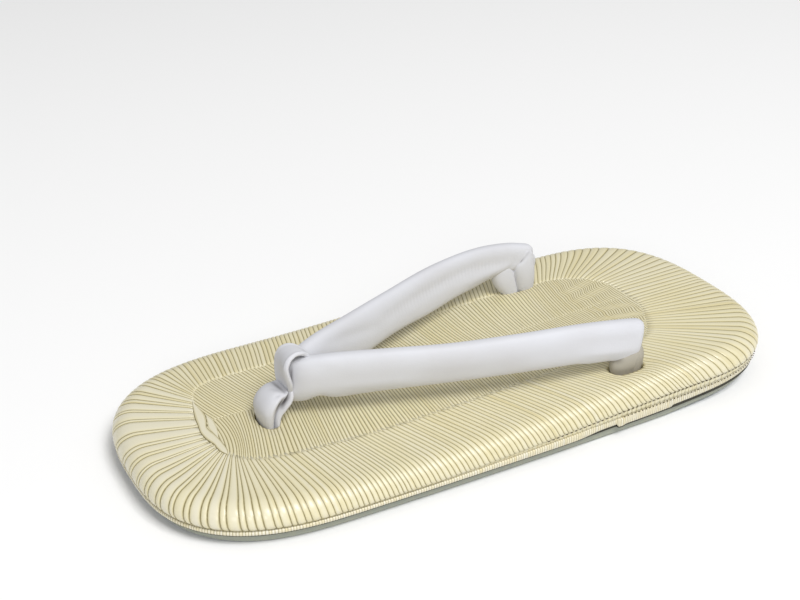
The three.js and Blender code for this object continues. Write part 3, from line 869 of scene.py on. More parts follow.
        for q in np.linspace(0, 1, self.border_rows) ** self.crowding:
            plan = ((1 - q) ** 3 * inner + 3 * q * (1 - q) ** 2 * first + 3 * q * q * (1 - q) * second
                    + q ** 3 * flat)
            start = min(q * 14, 1)
            add(plan, self.height(plan) - 0.04 * (1 - start) ** 2, 0.0, 0.4 + 0.6 * start)
        for angle in np.linspace(math.pi / 2, 0, self.roll_rows)[1:]:
            inset = self.roll * (1 - math.cos(angle))
            plan = shape.at(share - lean * self.arc * angle, np.full(len(at), self.overhang - inset))
            low = shape.seam(plan[:, 0]) + self.droop
            height = low + (shape.top(plan[:, 0]) - low) * math.sin(angle)
            add(plan, height, math.pi / 2 - angle, 1.0)
        side = self.overhang - self.tuck
        share = share + lean * self.wall_lean
        rebate = shape.binding_top(shape.at(share)[:, 0]) + self.gap
        inset_side = np.full(len(at), side)
        plan = shape.at(share, inset_side)
        seam = np.maximum(shape.seam(plan[:, 0]), rebate + 0.1)
        turn = shape.at(share, np.full(len(at), self.overhang - 0.3 * self.tuck))
        add(turn, seam + 0.35 * self.droop, math.pi / 2, 0.9)
        add(shape.at(share, inset_side - 0.35), seam + 0.05, math.pi / 2, 0.5)
        add(plan, seam - 0.1 - 0.2 * (seam - rebate), math.pi / 2, 0.7, self.strip_line)
        add(plan, rebate, math.pi / 2, 0.7, self.strip_line)
        under = np.full(len(at), self.overhang - self.tuck + self.proud - self.binding_depth - self.gap)
        add(shape.at(share, under), rebate, math.pi / 2, 0.0, 0.0)
        floor = np.full(len(at), shape.sole)
        add(shape.at(share, under), floor, 0.0, 0.0, 0.0)
        add(inner, floor, 0.0, 0.0, 0.0)
        count = len(rows)
        return Sheet(np.stack(rows), {"line": np.stack(darks), "tone": np.tile(columns["tone"], (count, 1))})

    def middle(self, x: np.ndarray) -> np.ndarray:
        """Returns y of the line where the two panels meet."""
        share = smoothstep(x, *self.middle_span)
        return self.middle_heel + (self.middle_toe - self.middle_heel) * share

    def panel_edge(self, side: int) -> tuple[np.ndarray, np.ndarray]:
        """Returns x and y of the border's inner edge on one side of the middle line, x rising."""
        inner = self.key(np.linspace(0, self.walk[-1], 1500, endpoint=False))[:, :2]
        chosen = inner[(inner[:, 1] - self.middle(inner[:, 0])) * side > 0]
        order = np.argsort(chosen[:, 0])
        return chosen[order, 0], chosen[order, 1]

    def drift(self, x: np.ndarray, away: np.ndarray, side: int) -> np.ndarray:
        """Returns how far a rib that starts at x has moved along the sandal.

        Args:
            x: where the rib leaves the middle line.
            away: distance from the middle line.
            side: 1 for the left panel and -1 for the right one.

        Returns:
            The move along x.
        """
        slant = through(self.SLANT_X, self.SLANT_LEFT if side > 0 else self.SLANT_RIGHT, x)
        if side > 0:
            curl = through(self.SLANT_X, self.CURL_LEFT, x) * away * away
        else:
            curl = self.wave * np.sin(away / self.wave_length)
        behind = smoothstep(-x, -self.swirl_start, -self.swirl_start + self.swirl_length)
        phase = 2 * math.pi * away / self.swirl_wave + self.swirl_slant * x
        swirl = behind * self.swirl_reach * np.sin(phase)
        across = np.sin(np.clip(away / self.swirl_width, 0, 1) * math.pi)
        swirl = swirl * across * smoothstep(x, *self.swirl_end)
        return slant * away + curl + swirl

    def panel_sheet(self, side: int) -> Sheet:
        """Returns one panel, from the middle line out to under the border."""
        edge_x, edge_y = self.panel_edge(side)
        start, end = edge_x[0] + self.panel_margin, edge_x[-1] - self.panel_margin
        chance = np.random.default_rng(self.seed + side)
        count = int((end - start) / (self.pitch_left if side > 0 else self.pitch_right))
        widths = chance.uniform(0.85, 1.15, count)
        edges = start + np.append(0, np.cumsum(widths)) * (end - start) / widths.sum()
        tones = np.clip(chance.normal(*self.panel_tone, count), 0, 1)
        columns = self.panel_ribs.columns(edges, tones)
        x = np.concatenate([edges[:1] - self.tuck_under, columns["at"], edges[-1:] + [0, self.tuck_under]])
        order = np.concatenate([[0], np.arange(len(columns["at"])), [0, 0]])
        lift, line, tone = (columns[k][order] for k in ("lift", "line", "tone"))
        lift[[0, -1]] -= self.end_sink
        centre = self.middle(x)
        reach = np.full(len(x), 20.0)
        for _ in range(30):
            there = np.interp(x + self.drift(x, reach, side), edge_x, (edge_y - self.middle(edge_x)) * side)
            reach = 0.5 * (reach + np.maximum(there, 0.3))
        rows, darks = [], []
        widest = float(reach.max())
        shares = np.concatenate([[0.0], np.linspace(0.0, 1.0, int(widest / self.panel_row)), [1.0]])
        for number, share in enumerate(shares):
            away = share * reach
            if number == 1:
                away = np.minimum(0.35, 0.2 * reach)
            if number == len(shares) - 1:
                away = reach + self.tuck_under
            plan = np.column_stack([x + self.drift(x, away, side), centre + side * away])
            fade = np.clip(np.minimum(away / 0.9, (reach - away) / 1.2), 0, 1)
            sink = 0.03 * (1 - fade) + 0.25 * (number == len(shares) - 1)
            height = self.height(plan) + lift * (0.5 + 0.5 * fade) - sink
            rows.append(np.column_stack([plan, height]))
            darks.append(line * (0.75 + 0.25 * fade))
        for row in (rows[-1], rows[0]):
            rows.append(np.column_stack([row[:, :2], np.full(len(x), self.outline.sole)]))
            darks.append(line * 0)
        return Sheet(np.stack(rows), {"line": np.stack(darks), "tone": np.tile(tone, (len(rows), 1))})

    def hole_cutter(self, x: float, y: float, size: tuple[float, float]) -> bpy.types.Object:
        """Models the upright plug that cuts one strap hole."""
        turn = np.linspace(0, 2 * math.pi, self.hole_points, endpoint=False)
        power = 2 / self.hole_power
        ring = np.column_stack([
            x + np.sign(np.cos(turn)) * np.abs(np.cos(turn)) ** power * size[0] / 2,
            y + np.sign(np.sin(turn)) * np.abs(np.sin(turn)) ** power * size[1] / 2,
            np.full(self.hole_points, self.outline.sole - 1.0)])
        bench = Bench.loop("hole", self.hole_points)
        bench.place(ring)
        bpy.ops.mesh.edge_face_add()
        bpy.ops.mesh.extrude_region_move(TRANSFORM_OT_translate={"value": (0, 0, self.plug_height * MM)})
        return bench.close()

    def cut_holes(self, thing: bpy.types.Object) -> None:
        """Cuts the three strap holes through a piece of the footbed."""
        for x, y, size in self.holes():
            cutter = self.hole_cutter(x, y, size)
            modifier = thing.modifiers.new("hole", "BOOLEAN")
            modifier.object = cutter
            modifier.operation = "DIFFERENCE"
            modifier.solver = "EXACT"
            Bench.clear()
            thing.select_set(True)
            bpy.context.view_layer.objects.active = thing
            bpy.ops.object.modifier_apply(modifier=modifier.name)
            bpy.data.objects.remove(cutter)

    def leaf_sheet(self, edges: tuple[tuple[tuple[float, float], ...], ...], sink: float) -> Sheet:
        """Returns a pointed leaf that lies on the toe of the mat.

        Args:
            edges: its two edges in plan, from one point to the other.
            sink: how far it lies below the other leaf.

        Returns:
            Its closed surface.
        """
        outer, inner = (np.array(edge, float) for edge in edges)
        keys = np.arange(len(outer), dtype=float)
        at = np.linspace(0, keys[-1], self.leaf_points)
        outer, inner = through(keys, outer, at), through(keys, inner, at)
        middle, half = (outer + inner) / 2, (outer - inner) / 2
        half = half * np.maximum(1, 0.06 / np.maximum(np.linalg.norm(half, axis=1), 1e-6))[:, None]
        points, darks = [], []
        for aside, lift, dark in self.LEAF_SECTION:
            plan = middle + half * aside
            points.append(np.column_stack([plan, self.height(plan) + lift - sink]))
            darks.append(np.full(len(at), dark))
        tones = np.full((len(points), len(at)), self.leaf_tone)
        return Sheet(np.stack(points), {"line": np.stack(darks), "tone": tones})

    def build(self) -> None:
        """Builds and dresses the border, the two panels and the leaves."""
        pieces = [solid_from("footbed_border", self.border_sheet(), True)]
        for side, name in ((1, "footbed_panel_left"), (-1, "footbed_panel_right")):
            pieces.append(solid_from(name, self.panel_sheet(side), False))
        leaves = ((self.LEAF, "footbed_leaf", 0.0), (self.INNER_LEAF, "footbed_inner_leaf", self.leaf_sink))
        for edges, name, sink in leaves:
            pieces.append(solid_from(name, self.leaf_sheet(edges, sink), False))
        for thing in pieces:
            self.cut_holes(thing)
            dress(thing, self.finish, ("footbed",))


@dataclass
class Outsole:
    """The grey sheet sole, with a shallow trough round its underside."""

    outline: Outline
    finish: SoleFinish = SoleFinish()
    points: int = 240
    rounding: float = 1.6
    top_rounding: float = 0.6
    trough_inset: float = 9.0
    trough_width: float = 3.0
    trough_depth: float = 0.3
    station: float = 6.0
    rise: float = 1.7
    draw: float = 1.0
    sag: float = 1.0
    sag_x: float = -58.0
    sag_reach: float = 24.0
    flatness: float = 0.7
    rise_fade: float = 0.45
    under_inset: float = 5.0

    def build(self) -> bpy.types.Object:
        """Models the sole from a loop: extruded edges, a filled face each way, insets and cuts across."""
        shape = self.outline
        share = np.linspace(0, 1, self.points, endpoint=False)
        x = shape.at(share)[:, 0]
        tucked = shape.tucked(x)
        room = np.array([shape.underside(value) for value in x])
        slack = np.minimum(self.sag, room) * swell(x - self.sag_x, self.sag_reach)

        def loop(offset: float, height: float, rise: float = self.rise, sag: float = 0.0) -> np.ndarray:
            """Returns the outline moved out and up. It rises round the heel's end and sags before it."""
            return np.column_stack([shape.at(share, offset - self.draw * rise / self.rise * tucked),
                                    height + rise * tucked - sag * slack])

        bench = Bench.loop("outsole_sheet", self.points)
        bench.place(loop(-self.top_rounding, shape.sole))
        bpy.ops.mesh.edge_face_add()
        bpy.ops.mesh.select_mode(type="VERT")
        for turn in (0.5, 1.0):
            inset = self.top_rounding * (1 - math.sin(turn * math.pi / 2))
            bench.extrude(loop(-inset, shape.sole - self.top_rounding * (1 - math.cos(turn * math.pi / 2))))
        for turn in (0.0, 0.3, 0.6, 0.8, 1.0):
            angle = turn * math.pi / 2
            height = self.rounding * self.flatness * (1 - math.sin(angle))
            rise = self.rise * (1 - self.rise_fade * turn)
            bench.extrude(loop(-self.rounding * (1 - math.cos(angle)), height, rise, 1.0))
        bench.extrude(loop(-self.under_inset, 0.0, 0.2 * self.rise, 0.3))
        for inset, rise in ((self.trough_inset, 0), (self.trough_inset + self.trough_width / 2, 1),
                            (self.trough_inset + self.trough_width, 0)):
            bench.extrude(loop(-inset, rise * self.trough_depth, 0.0))
        bpy.ops.mesh.edge_face_add()
        half = shape.length / 2
        bench.slice(np.arange(-half + self.station, half, self.station))
        ceiling = shape.sole - self.top_rounding

        def settle(point: Vector) -> Vector:
            """Lifts the underside to the heel pad and the toe."""
            share_up = 1 - min(max(point.z / ceiling, 0), 1)
            return Vector((point.x, point.y, point.z + shape.underside(point.x) * share_up))

        bench.shape(settle)
        thing = bench.close()
        return dress(thing, self.finish, ("outsole",))


@dataclass
class HeelPatch:
    """The amber pad under the heel: straight in front, round behind, with a raised rim."""

    outline: Outline
    finish: RubberFinish = RubberFinish()
    margin: float = 3.0
    width: float = 78.0
    corner: float = 8.0
    power: float = 2.5
    bevel: float = 2.2
    rim: float = 4.0
    recess: float = 0.25
    contour: float = 3.0
    points: int = 96

    def ring(self, inset: float, height: float) -> np.ndarray:
        """Returns the pad's outline, moved in and up."""
        front = self.outline.patch_front - inset
        rear = -self.outline.length / 2 + self.margin + inset
        half = self.width / 2 - inset
        turn = np.linspace(0, 2 * math.pi, self.points, endpoint=False)
        round_x = np.sign(np.cos(turn)) * np.abs(np.cos(turn)) ** (2 / self.power)
        round_y = np.sign(np.sin(turn)) * np.abs(np.sin(turn)) ** (2 / self.power)
        length = front - self.corner - rear
        x = np.where(round_x < 0, front - self.corner + round_x * length,
                     front - self.corner + np.abs(round_x) ** 0.8 * self.corner)
        y = np.where(round_x < 0, round_y * half,
                     np.sign(round_y) * np.minimum(np.abs(round_y) * half * 1.02, half))
        squash = np.where(round_x < 0, 0, self.corner * (1 - np.sqrt(np.clip(1 - (
            (x - front + self.corner) / self.corner) ** 2, 0, 1))))
        y = np.sign(y) * np.minimum(np.abs(y), half - squash)
        return np.column_stack([x, y, np.full(self.points, height)])

    def build(self) -> bpy.types.Object:
        """Models the pad from a loop, with a bevelled edge and faint steps inside its rim."""
        thick = self.outline.patch
        bench = Bench.loop("heel_pad", self.points)
        bench.place(self.ring(0.0, thick + 1.1))
        bpy.ops.mesh.edge_face_add()
        bpy.ops.mesh.select_mode(type="VERT")
        steps = ((0.0, thick - 0.25), (0.35 * self.bevel, 0.42 * thick), (0.75 * self.bevel, 0.08 * thick),
                 (self.bevel, 0.0), (self.rim, 0.0), (self.rim + 0.6, self.recess),
                 (self.rim + self.contour, self.recess), (self.rim + self.contour + 0.5, 0.12),
                 (self.rim + self.contour + 1.2, self.recess))
        for inset, height in steps:
            bench.extrude(self.ring(inset, height))
        bpy.ops.mesh.edge_face_add()
        return dress(bench.close(), self.finish, ("heel_patch",))


@dataclass
class Binding:
    """The finely ribbed band round the side, whose rear end laps over its front end on the left."""

    outline: Outline
    finish: MatFinish = MatFinish("binding_vinyl", cream=srgb(222, 214, 186), white=srgb(224, 220, 204),
                                  halo=srgb(211, 202, 168), line=srgb(160, 148, 106))
    rib: float = 1.02
    rib_depth: float = 0.12
    face: float = 2.2
    depth: float = 3.4
    rounding: float = 0.5
    lap_x: float = -40.4
    lap_length: float = 26.0
    lap_step: float = 0.8
    lap_lift: float = 0.7
    heel_gap: float = 0.75
    step_x: float = -66.0
    tuck: float = 0.9
    # A dark sheet in the gap under the band paints the shadow there
    gap_shadow_finish: ThreadFinish = ThreadFinish("gap_shadow", srgb(58, 56, 44), srgb(40, 38, 30))
    lap_edge: float = 0.35
    end_swell: float = 0.45
    end_back: float = 1.3
    end_reach: float = 1.6
    end_lift: float = 0.35
    heel_rise: float = 1.7
    seed: int = 11

    def recess(self, plan: np.ndarray) -> np.ndarray:
        """Returns how far the band is let in, or stands out if below 0, at points of the outline."""
        x, y = plan[:, 0], plan[:, 1]
        under = smoothstep(x, self.lap_x, self.lap_x + self.lap_edge)
        under = under * smoothstep(-x, -self.lap_x - self.lap_length, -self.lap_x)
        end = swell((x - self.lap_x + self.end_back) / self.end_reach, 1.0) * (x < self.lap_x + 0.1)
        return (y > 0) * (self.lap_step * under - self.end_swell * end)

    def build(self) -> None:
        """Models the band, and a dark strip that paints the shadow in the gap under it, from loops extruded
        round a section.
        """
        shape = self.outline
        count = int(shape.round_length() / self.rib)
        chance = np.random.default_rng(self.seed)
        widths = chance.uniform(0.85, 1.15, count)
        starts = np.append(0, np.cumsum(widths))[:-1] / widths.sum()
        steps = np.array([0.0, 0.2, 0.5, 0.8])
        share = (starts[:, None] + steps * (widths / widths.sum())[:, None]).ravel()
        groove = np.tile([1.0, 0.1, 0.0, 0.1], count)
        tone = np.repeat(np.clip(chance.normal(0.62, 0.18, count), 0, 1), 4)
        plan = shape.at(share)
        recess = self.recess(plan)
        top = shape.binding_top(plan[:, 0])
        tucked = shape.tucked(plan[:, 0])
        behind = -plan[:, 0]
        lifted = np.maximum(self.lap_lift * smoothstep(recess, 0.1, 0.7),
                            self.end_lift * smoothstep(behind, -self.lap_x - 2, -self.lap_x + 3))
        lifted = lifted + self.heel_gap * smoothstep(behind, -self.step_x, -self.step_x + 1.5)
        floor = shape.sole + self.heel_rise * tucked
        low, high, inner = floor + 0.04 + lifted, top, self.face - self.depth

        def loop(offset: np.ndarray | float, height: np.ndarray, ribbing: float) -> np.ndarray:
            """Returns the band's points at an offset and a height, with some of the ribbing."""
            out = np.asarray(offset) - ribbing * self.rib_depth * groove
            return np.column_stack([shape.at(share, np.broadcast_to(out, len(share))), height])

        face = self.face - recess - self.tuck * smoothstep(behind, -self.lap_x, -self.step_x + 20)
        bench = Bench.loop("binding_band", len(share))
        bench.place(loop(inner, low, 0))
        bench.mark({"line": groove, "tone": tone})
        bevel, corner = self.rounding, 0.3 * self.rounding
        for offset, height, ribbing in (
                (face - bevel, low, 0.3), (face - corner, low + corner, 0.8), (face, low + bevel, 1),
                (face + 0.04, (low + high) / 2, 1), (face, high - bevel, 1),
                (face - corner, high - corner, 0.8), (face - bevel, high, 0.3), (inner, high, 0),
                (inner, low, 0)):
            bench.extrude(loop(offset, height, ribbing))
        dress(bench.close(60.0), self.finish, ("binding",))
        # A dark strip in the gap under the band, which paints the shadow there
        bench = Bench.loop("binding_gap_shadow", len(share))
        bench.place(loop(inner + 0.2, floor - 0.3, 0))
        for offset, height in ((face - self.rounding, floor - 0.3), (face - self.rounding, low + 0.3),
                               (inner + 0.2, low + 0.3), (inner + 0.2, floor - 0.3)):
            bench.extrude(loop(offset, height, 0))
        dress(bench.close(), self.gap_shadow_finish, ("binding",))


class SeamRow(NamedTuple):
    """One row of stitches, from the left side round the heel to the right side."""

    left_x: float
    right_x: float
    pitch: float
    length: float
    radius: float
    offset: float
    above: float  # over the seam


@dataclass
class Stitches:
    """The rows of stitches in the side's two seams."""

    outline: Outline
    finish: ThreadFinish = ThreadFinish()
    upper: SeamRow = SeamRow(-8.0, -8.0, 2.0, 1.15, 0.42, 1.9, 0.3)
    lower: SeamRow = SeamRow(-43.0, -43.0, 1.7, 0.8, 0.19, 1.95, 0.1)

    def stitch(self, row: SeamRow) -> bpy.types.Object:
        """Models one stitch of a row."""
        Bench.clear()
        bpy.ops.mesh.primitive_uv_sphere_add(segments=8, ring_count=6, radius=1.0)
        first = bpy.context.object
        first.name = "seam_stitches"
        first.data.name = "seam_stitches"
        bpy.ops.object.mode_set(mode="EDIT")
        bpy.ops.mesh.select_all(action="SELECT")
        bpy.ops.transform.resize(value=(row.length / 2 * MM, row.radius * MM, row.radius * MM))
        bpy.ops.object.mode_set(mode="OBJECT")
        bpy.ops.object.shade_smooth()
        return first

    def copies(self, row: SeamRow, height: Callable[[np.ndarray], np.ndarray]) -> list[bpy.types.Object]:
        """Copies one stitch along its seam.

        Args:
            row: the row's ends and the stitch's size.
            height: the seam's height at x.

        Returns:
            The placed copies.
        """
        shape = self.outline
        first = self.stitch(row)
        start, end = shape.nearest(np.array([(row.right_x, -60.0), (row.left_x, 60.0)]))
        count = int((end + 1 - start) * shape.round_length() / row.pitch)
        share = np.linspace(start, end + 1, count)
        plan = shape.at(share, np.full(count, row.offset))
        made = []
        for point, out, z in zip(plan, shape.normal(share), height(plan[:, 0])):
            stitch = first.copy()
            stitch.data = first.data.copy()
            bpy.context.collection.objects.link(stitch)
            turn = Vector((-out[1], out[0], 0)).to_track_quat("X", "Z").to_matrix().to_4x4()
            turn.translation = Vector((point[0], point[1], z)) * MM
            stitch.data.transform(turn)
            made.append(stitch)
        bpy.data.objects.remove(first)
        return made

    def build(self) -> bpy.types.Object:
        """Places both rows and joins the stitches."""
        shape = self.outline
        made = self.copies(self.upper, lambda x: shape.seam(x) + self.upper.above)
        made += self.copies(self.lower, lambda x: shape.binding_top(x) + self.lower.above)
        Bench.clear()
        for stitch in made:
            stitch.select_set(True)
        bpy.context.view_layer.objects.active = made[0]
        bpy.ops.object.join()
        return dress(made[0], self.finish, ("binding",))


class Crease(NamedTuple):
    """A soft trough along a line of points in millimetres, or a ridge if its depth is below 0, with painted
    shade along it as dark says.
    """

    line: tuple[tuple[float, float, float], ...]
    depth: float
    reach: float
    # how much painted shade lies along the line
    dark: float = 0.0


class Section(Enum):
    """Cross-sections of the strap's pieces."""

    STUFFED = "stuffed"
    ROLLED = "rolled"


def section_points(kind: Section, count: int, aspect: float, power: float = 2.5) -> np.ndarray:
    """Returns evenly spread points round a unit section.

    Args:
        kind: a stuffed tube, or a flat band with rolled edges.
        count: number of points.
        aspect: how much wider than thick the section is.
        power: 2 is an ellipse, more is squarer.

    Returns:
        Points whose first number runs across the width and whose second runs through the thickness.
    """
    turn = np.linspace(0, 2 * math.pi, 40 * count + 1)
    wide = np.sign(np.cos(turn)) * np.abs(np.cos(turn)) ** (2 / power)
    thick = np.sign(np.sin(turn)) * np.abs(np.sin(turn)) ** (2 / power)
    if kind is Section.ROLLED:
        thick = thick * (0.62 + 0.5 * swell(np.abs(wide) - 0.84, 0.14))
    gaps = np.hypot(np.diff(wide) * aspect, np.diff(thick))
    walk = np.append(0, np.cumsum(gaps))
    even = np.linspace(0, walk[-1], count, endpoint=False)
    return np.column_stack([np.interp(even, walk, wide), np.interp(even, walk, thick)])


def press(points: np.ndarray, creases: tuple[Crease, ...]) -> Sheet:
    """Presses creases into a closed surface.

    Args:
        points: rows round the section, columns along the path.
        creases: troughs and ridges.

    Returns:
        The moved points and how dark each lies in a fold.
    """
    around = np.roll(points, -1, axis=0) - np.roll(points, 1, axis=0)
    along = np.gradient(points, axis=1)
    normal = np.cross(around, along)
    normal /= np.maximum(np.linalg.norm(normal, axis=-1), 1e-9)[..., None]
    outward = points - points.mean(axis=0)
    normal *= np.where((normal * outward).sum(-1).mean(axis=0) < 0, -1, 1)[None, :, None]
    moved, fold = points.copy(), np.zeros(points.shape[:2])
    for crease in creases:
        keys = np.array(crease.line, float)
        walk = np.append(0, np.cumsum(np.linalg.norm(np.diff(keys, axis=0), axis=1)))
        at = np.linspace(0, walk[-1], 40)
        path = through(walk, keys, at)
        fade = np.sin(np.linspace(0.12, math.pi - 0.12, 40)) ** 0.6
        away = np.linalg.norm(points[:, :, None] - path, axis=-1)
        share = (swell(away, crease.reach) * fade).max(axis=-1)
        moved -= normal * (crease.depth * share)[..., None]
        # A crease's dark paints shade along its line, into the fold mark that the leather reads.
        fold = np.maximum(fold, crease.dark * (swell(away, 0.5 * crease.reach) * fade).max(axis=-1))
    return Sheet(moved, {"fold": np.clip(fold, 0, 1)})


@dataclass
class Tube:
    """A stuffed tube through rows of centre, half width and half thickness."""

    rows: np.ndarray  # x, y, z, half width, half thickness
    axis: tuple[float, float, float]  # roughly along the width
    section: Section = Section.STUFFED
    power: float = 2.5
    around: int = 48
    step: float = 0.5
    ends: tuple[float, float] = (1.5, 1.5)
    lean: np.ndarray | None = None

    def sheet(self, creases: tuple[Crease, ...] = (), lower: Callable | None = None) -> Sheet:
        """Returns the tube's closed surface.

        Args:
            creases: troughs and ridges that are pressed into it.
            lower: how much of the width is kept on the minus side, for shares of the length.

        Returns:
            Rows round the section and columns along the path.
        """
        rows = np.asarray(self.rows, float)
        keys = np.append(0, np.cumsum(np.linalg.norm(np.diff(rows[:, :3], axis=0), axis=1) ** 0.5))
        fine = np.linspace(0, keys[-1], 1200)
        path = through(keys, rows[:, :3], fine)
        walk = np.append(0, np.cumsum(np.linalg.norm(np.diff(path, axis=0), axis=1)))
        whole = walk[-1]
        inside = np.arange(self.step, whole - 0.5 * self.step, self.step)
        rounded = [end * (1 - np.cos(np.linspace(0.08, math.pi / 2, 7)[:-1])) for end in self.ends]
        inside = inside[(inside > self.ends[0]) & (inside < whole - self.ends[1])]
        at = np.concatenate([rounded[0], [self.ends[0]], inside, [whole - self.ends[1]],
                             whole - rounded[1][::-1]])
        key_at = np.interp(at, walk, fine)
        values = through(keys, rows, key_at)
        near = np.minimum(at / self.ends[0], 1), np.minimum((whole - at) / self.ends[1], 1)
        shut = np.prod([np.sqrt(np.maximum(1 - (1 - share) ** 2, 1e-4)) for share in near], axis=0)
        tangent = np.gradient(values[:, :3], at, axis=0)
        tangent /= np.linalg.norm(tangent, axis=1)[:, None]
        axis = np.array(self.axis, float)
        wide = axis - tangent * (tangent @ axis)[:, None]
        wide /= np.linalg.norm(wide, axis=1)[:, None]
        thick = np.cross(tangent, wide)
        if self.lean is not None:
            lean = np.radians(through(keys, self.lean, key_at))[:, None]
            wide, thick = (wide * np.cos(lean) + thick * np.sin(lean),
                           thick * np.cos(lean) - wide * np.sin(lean))
        half_wide = values[:, 3:4] * (1 - (1 - shut[:, None]) * np.minimum(self.ends[0], values[:, 3:4])
                                      / values[:, 3:4])
        half_thick = values[:, 4:5] * shut[:, None]
        aspect = float(np.median(values[:, 3] / values[:, 4]))
        unit = section_points(self.section, self.around, aspect, self.power)
        across, through_it = unit[:, 0][:, None], unit[:, 1][:, None]
        if lower is not None:
            across = np.where(across < 0, across * lower(at / whole)[None, :], across)
        points = (values[None, :, :3] + wide[None] * half_wide[None] * across[..., None]
                  + thick[None] * half_thick[None] * through_it[..., None])
        return press(points, creases)


@dataclass
class Strap:
    """The padded V: two arms that end in folds in the rear holes, and the toe loop that holds them."""

    outline: Outline
    finish: LeatherFinish = LeatherFinish()
    # A darker copy of the white leather: painted shade for the folds under the near arm
    painted_shade_finish: LeatherFinish = LeatherFinish("leather_painted_in_shade", skin=srgb(168, 163, 151),
                                               shade=srgb(156, 151, 138), fold=srgb(60, 55, 48))
    toe_x: float = 76.4
    toe_y: float = 1.5
    rear_x: float = -54.5
    rear_middle: float = 3.0
    spread: float = 38.7
    front_back: float = 10.4
    overrun: float = 6.6
    lift: float = 15.0
    width: float = 16.4
    thickness: float = 7.5
    hump_run: float = 0.24
    hump_reach: float = 0.13
    hump_lift: float = 0.7
    hump_width: float = 0.06

    # run, spread, lift, width, depth and lean of an arm, in the same terms as in the part's source
    ARM = (
        (-0.043, 0.0, 0.93, 0.96, 0.90, 2), (-0.02, 0.03, 0.92, 1.06, 1.04, 0),
        (0.02, 0.09, 0.93, 1.15, 1.12, -2), (0.10, 0.21, 1.01, 1.13, 1.06, -5),
        (0.22, 0.38, 1.05, 1.04, 1.03, -8), (0.40, 0.60, 1.08, 1.03, 1.00, -9),
        (0.60, 0.82, 1.10, 1.04, 1.00, -8), (0.78, 0.95, 1.03, 1.03, 1.00, -5),
        (0.90, 0.99, 0.89, 0.98, 1.02, -2), (0.96, 0.985, 0.79, 0.92, 0.98, 0),
        (1.00, 0.975, 0.73, 0.84, 0.92, 0),
    )
    # x, distance from the line between the rear holes, z, half width along x, half thickness
    OUTER_FOLD = ((-58.6, 37.2, 35.0, 2.8, 1.8), (-57.9, 37.0, 31, 4.9, 2.5), (-56.2, 37.3, 27, 6.0, 2.8),
                  (-55.6, 38.5, 23.5, 6.6, 3.4), (-54.6, 38.7, 20.5, 7.7, 3.4), (-54.4, 38.8, 17.5, 7.1, 3.0),
                  (-54.5, 39.0, 12, 6.4, 2.6), (-54.5, 39.0, 5, 6.2, 2.6))
    FRONT_LOBE = ((-45.6, 37.4, 33, 3.8, 2.2), (-45.8, 37.2, 29, 4.9, 2.9), (-46.9, 37.0, 25, 5.0, 3.1),
                  (-48.9, 36.9, 21, 4.3, 2.9), (-50.6, 36.9, 17.5, 3.4, 2.6), (-51.0, 36.9, 12, 3.1, 2.4),
                  (-51.0, 37.0, 5, 3.0, 2.4))
    REAR_LOBE = ((-58.8, 36.6, 37.0, 1.8, 1.6), (-57.4, 36.6, 33.5, 3.9, 2.7), (-56.3, 36.4, 29, 5.2, 3.4),
                 (-56.7, 36.3, 25, 5.0, 3.4), (-57.2, 36.4, 21, 4.6, 3.1), (-57.7, 36.7, 17.5, 4.1, 2.7),
                 (-57.8, 36.9, 12, 3.6, 2.4), (-57.8, 37, 5, 3.5, 2.4))
    END_FOLD = ((-57.5, 37.0, 34.5, 1.5, 1.6), (-57.5, 37.2, 31.0, 2.5, 2.6), (-57.4, 36.8, 28.0, 2.8, 2.6),
                (-57.4, 37.7, 25.0, 3.0, 3.0), (-57.3, 38.6, 22.5, 3.3, 3.5), (-57.2, 38.8, 19.5, 3.5, 3.4),
                (-57.2, 38.9, 15, 3.4, 3.1), (-57.2, 38.9, 8, 3.3, 2.9))
    # The folds that lie in the near arm's shade, with leather painted darker for that shade
    SHADED_FOLDS = ("strap_fold_outer_left", "strap_fold_end_left")
    # x, z, half width along y, half thickness and y of the loop's pieces
    LOOP_BAND = ((71.2, 24.4, 3.8, 1.0, 1.5), (71.7, 26.6, 5.4, 1.3, 1.6), (72.0, 29.8, 6.7, 1.4, 1.7),
                 (72.4, 33.6, 7.2, 1.4, 1.7), (72.3, 37.0, 7.0, 1.4, 1.8), (71.0, 39.5, 6.3, 1.4, 2.0),
                 (68.8, 40.7, 5.2, 1.3, 2.4), (66.4, 40.5, 3.8, 1.2, 2.9), (64.2, 39.0, 2.3, 1.1, 3.2),
                 (62.0, 36.5, 1.3, 1.0, 3.3))
    LOOP_TWIST = (6, 5, 1, -5, -9, -8, -4, 0, 0, 0)  # degrees by which the band's left edge turns back
    LOOP_FRONT = ((71.8, 26.2, 4.4, 0.8, 1.5), (73.6, 25.6, 5.7, 1.5, 1.5), (76.0, 24.3, 6.5, 2.3, 1.5),
                  (78.4, 22.3, 6.9, 2.9, 1.5), (80.0, 19.6, 7.0, 3.0, 1.5), (80.4, 16.8, 6.7, 2.6, 1.5),
                  (80.2, 13.5, 6.2, 2.1, 1.5), (80.2, 5.0, 6.0, 1.9, 1.5))
    LOOP_BACK = ((71.4, 27.0, 4.8, 0.8, 1.5), (71.3, 25.2, 5.9, 1.4, 1.6), (72.2, 22.8, 6.4, 1.8, 1.7),
                 (74.4, 20.2, 6.4, 1.9, 1.6), (76.4, 17.2, 6.1, 1.6, 1.5), (77.2, 13.0, 6.0, 1.4, 1.5),
                 (77.2, 5.0, 5.8, 1.4, 1.5))

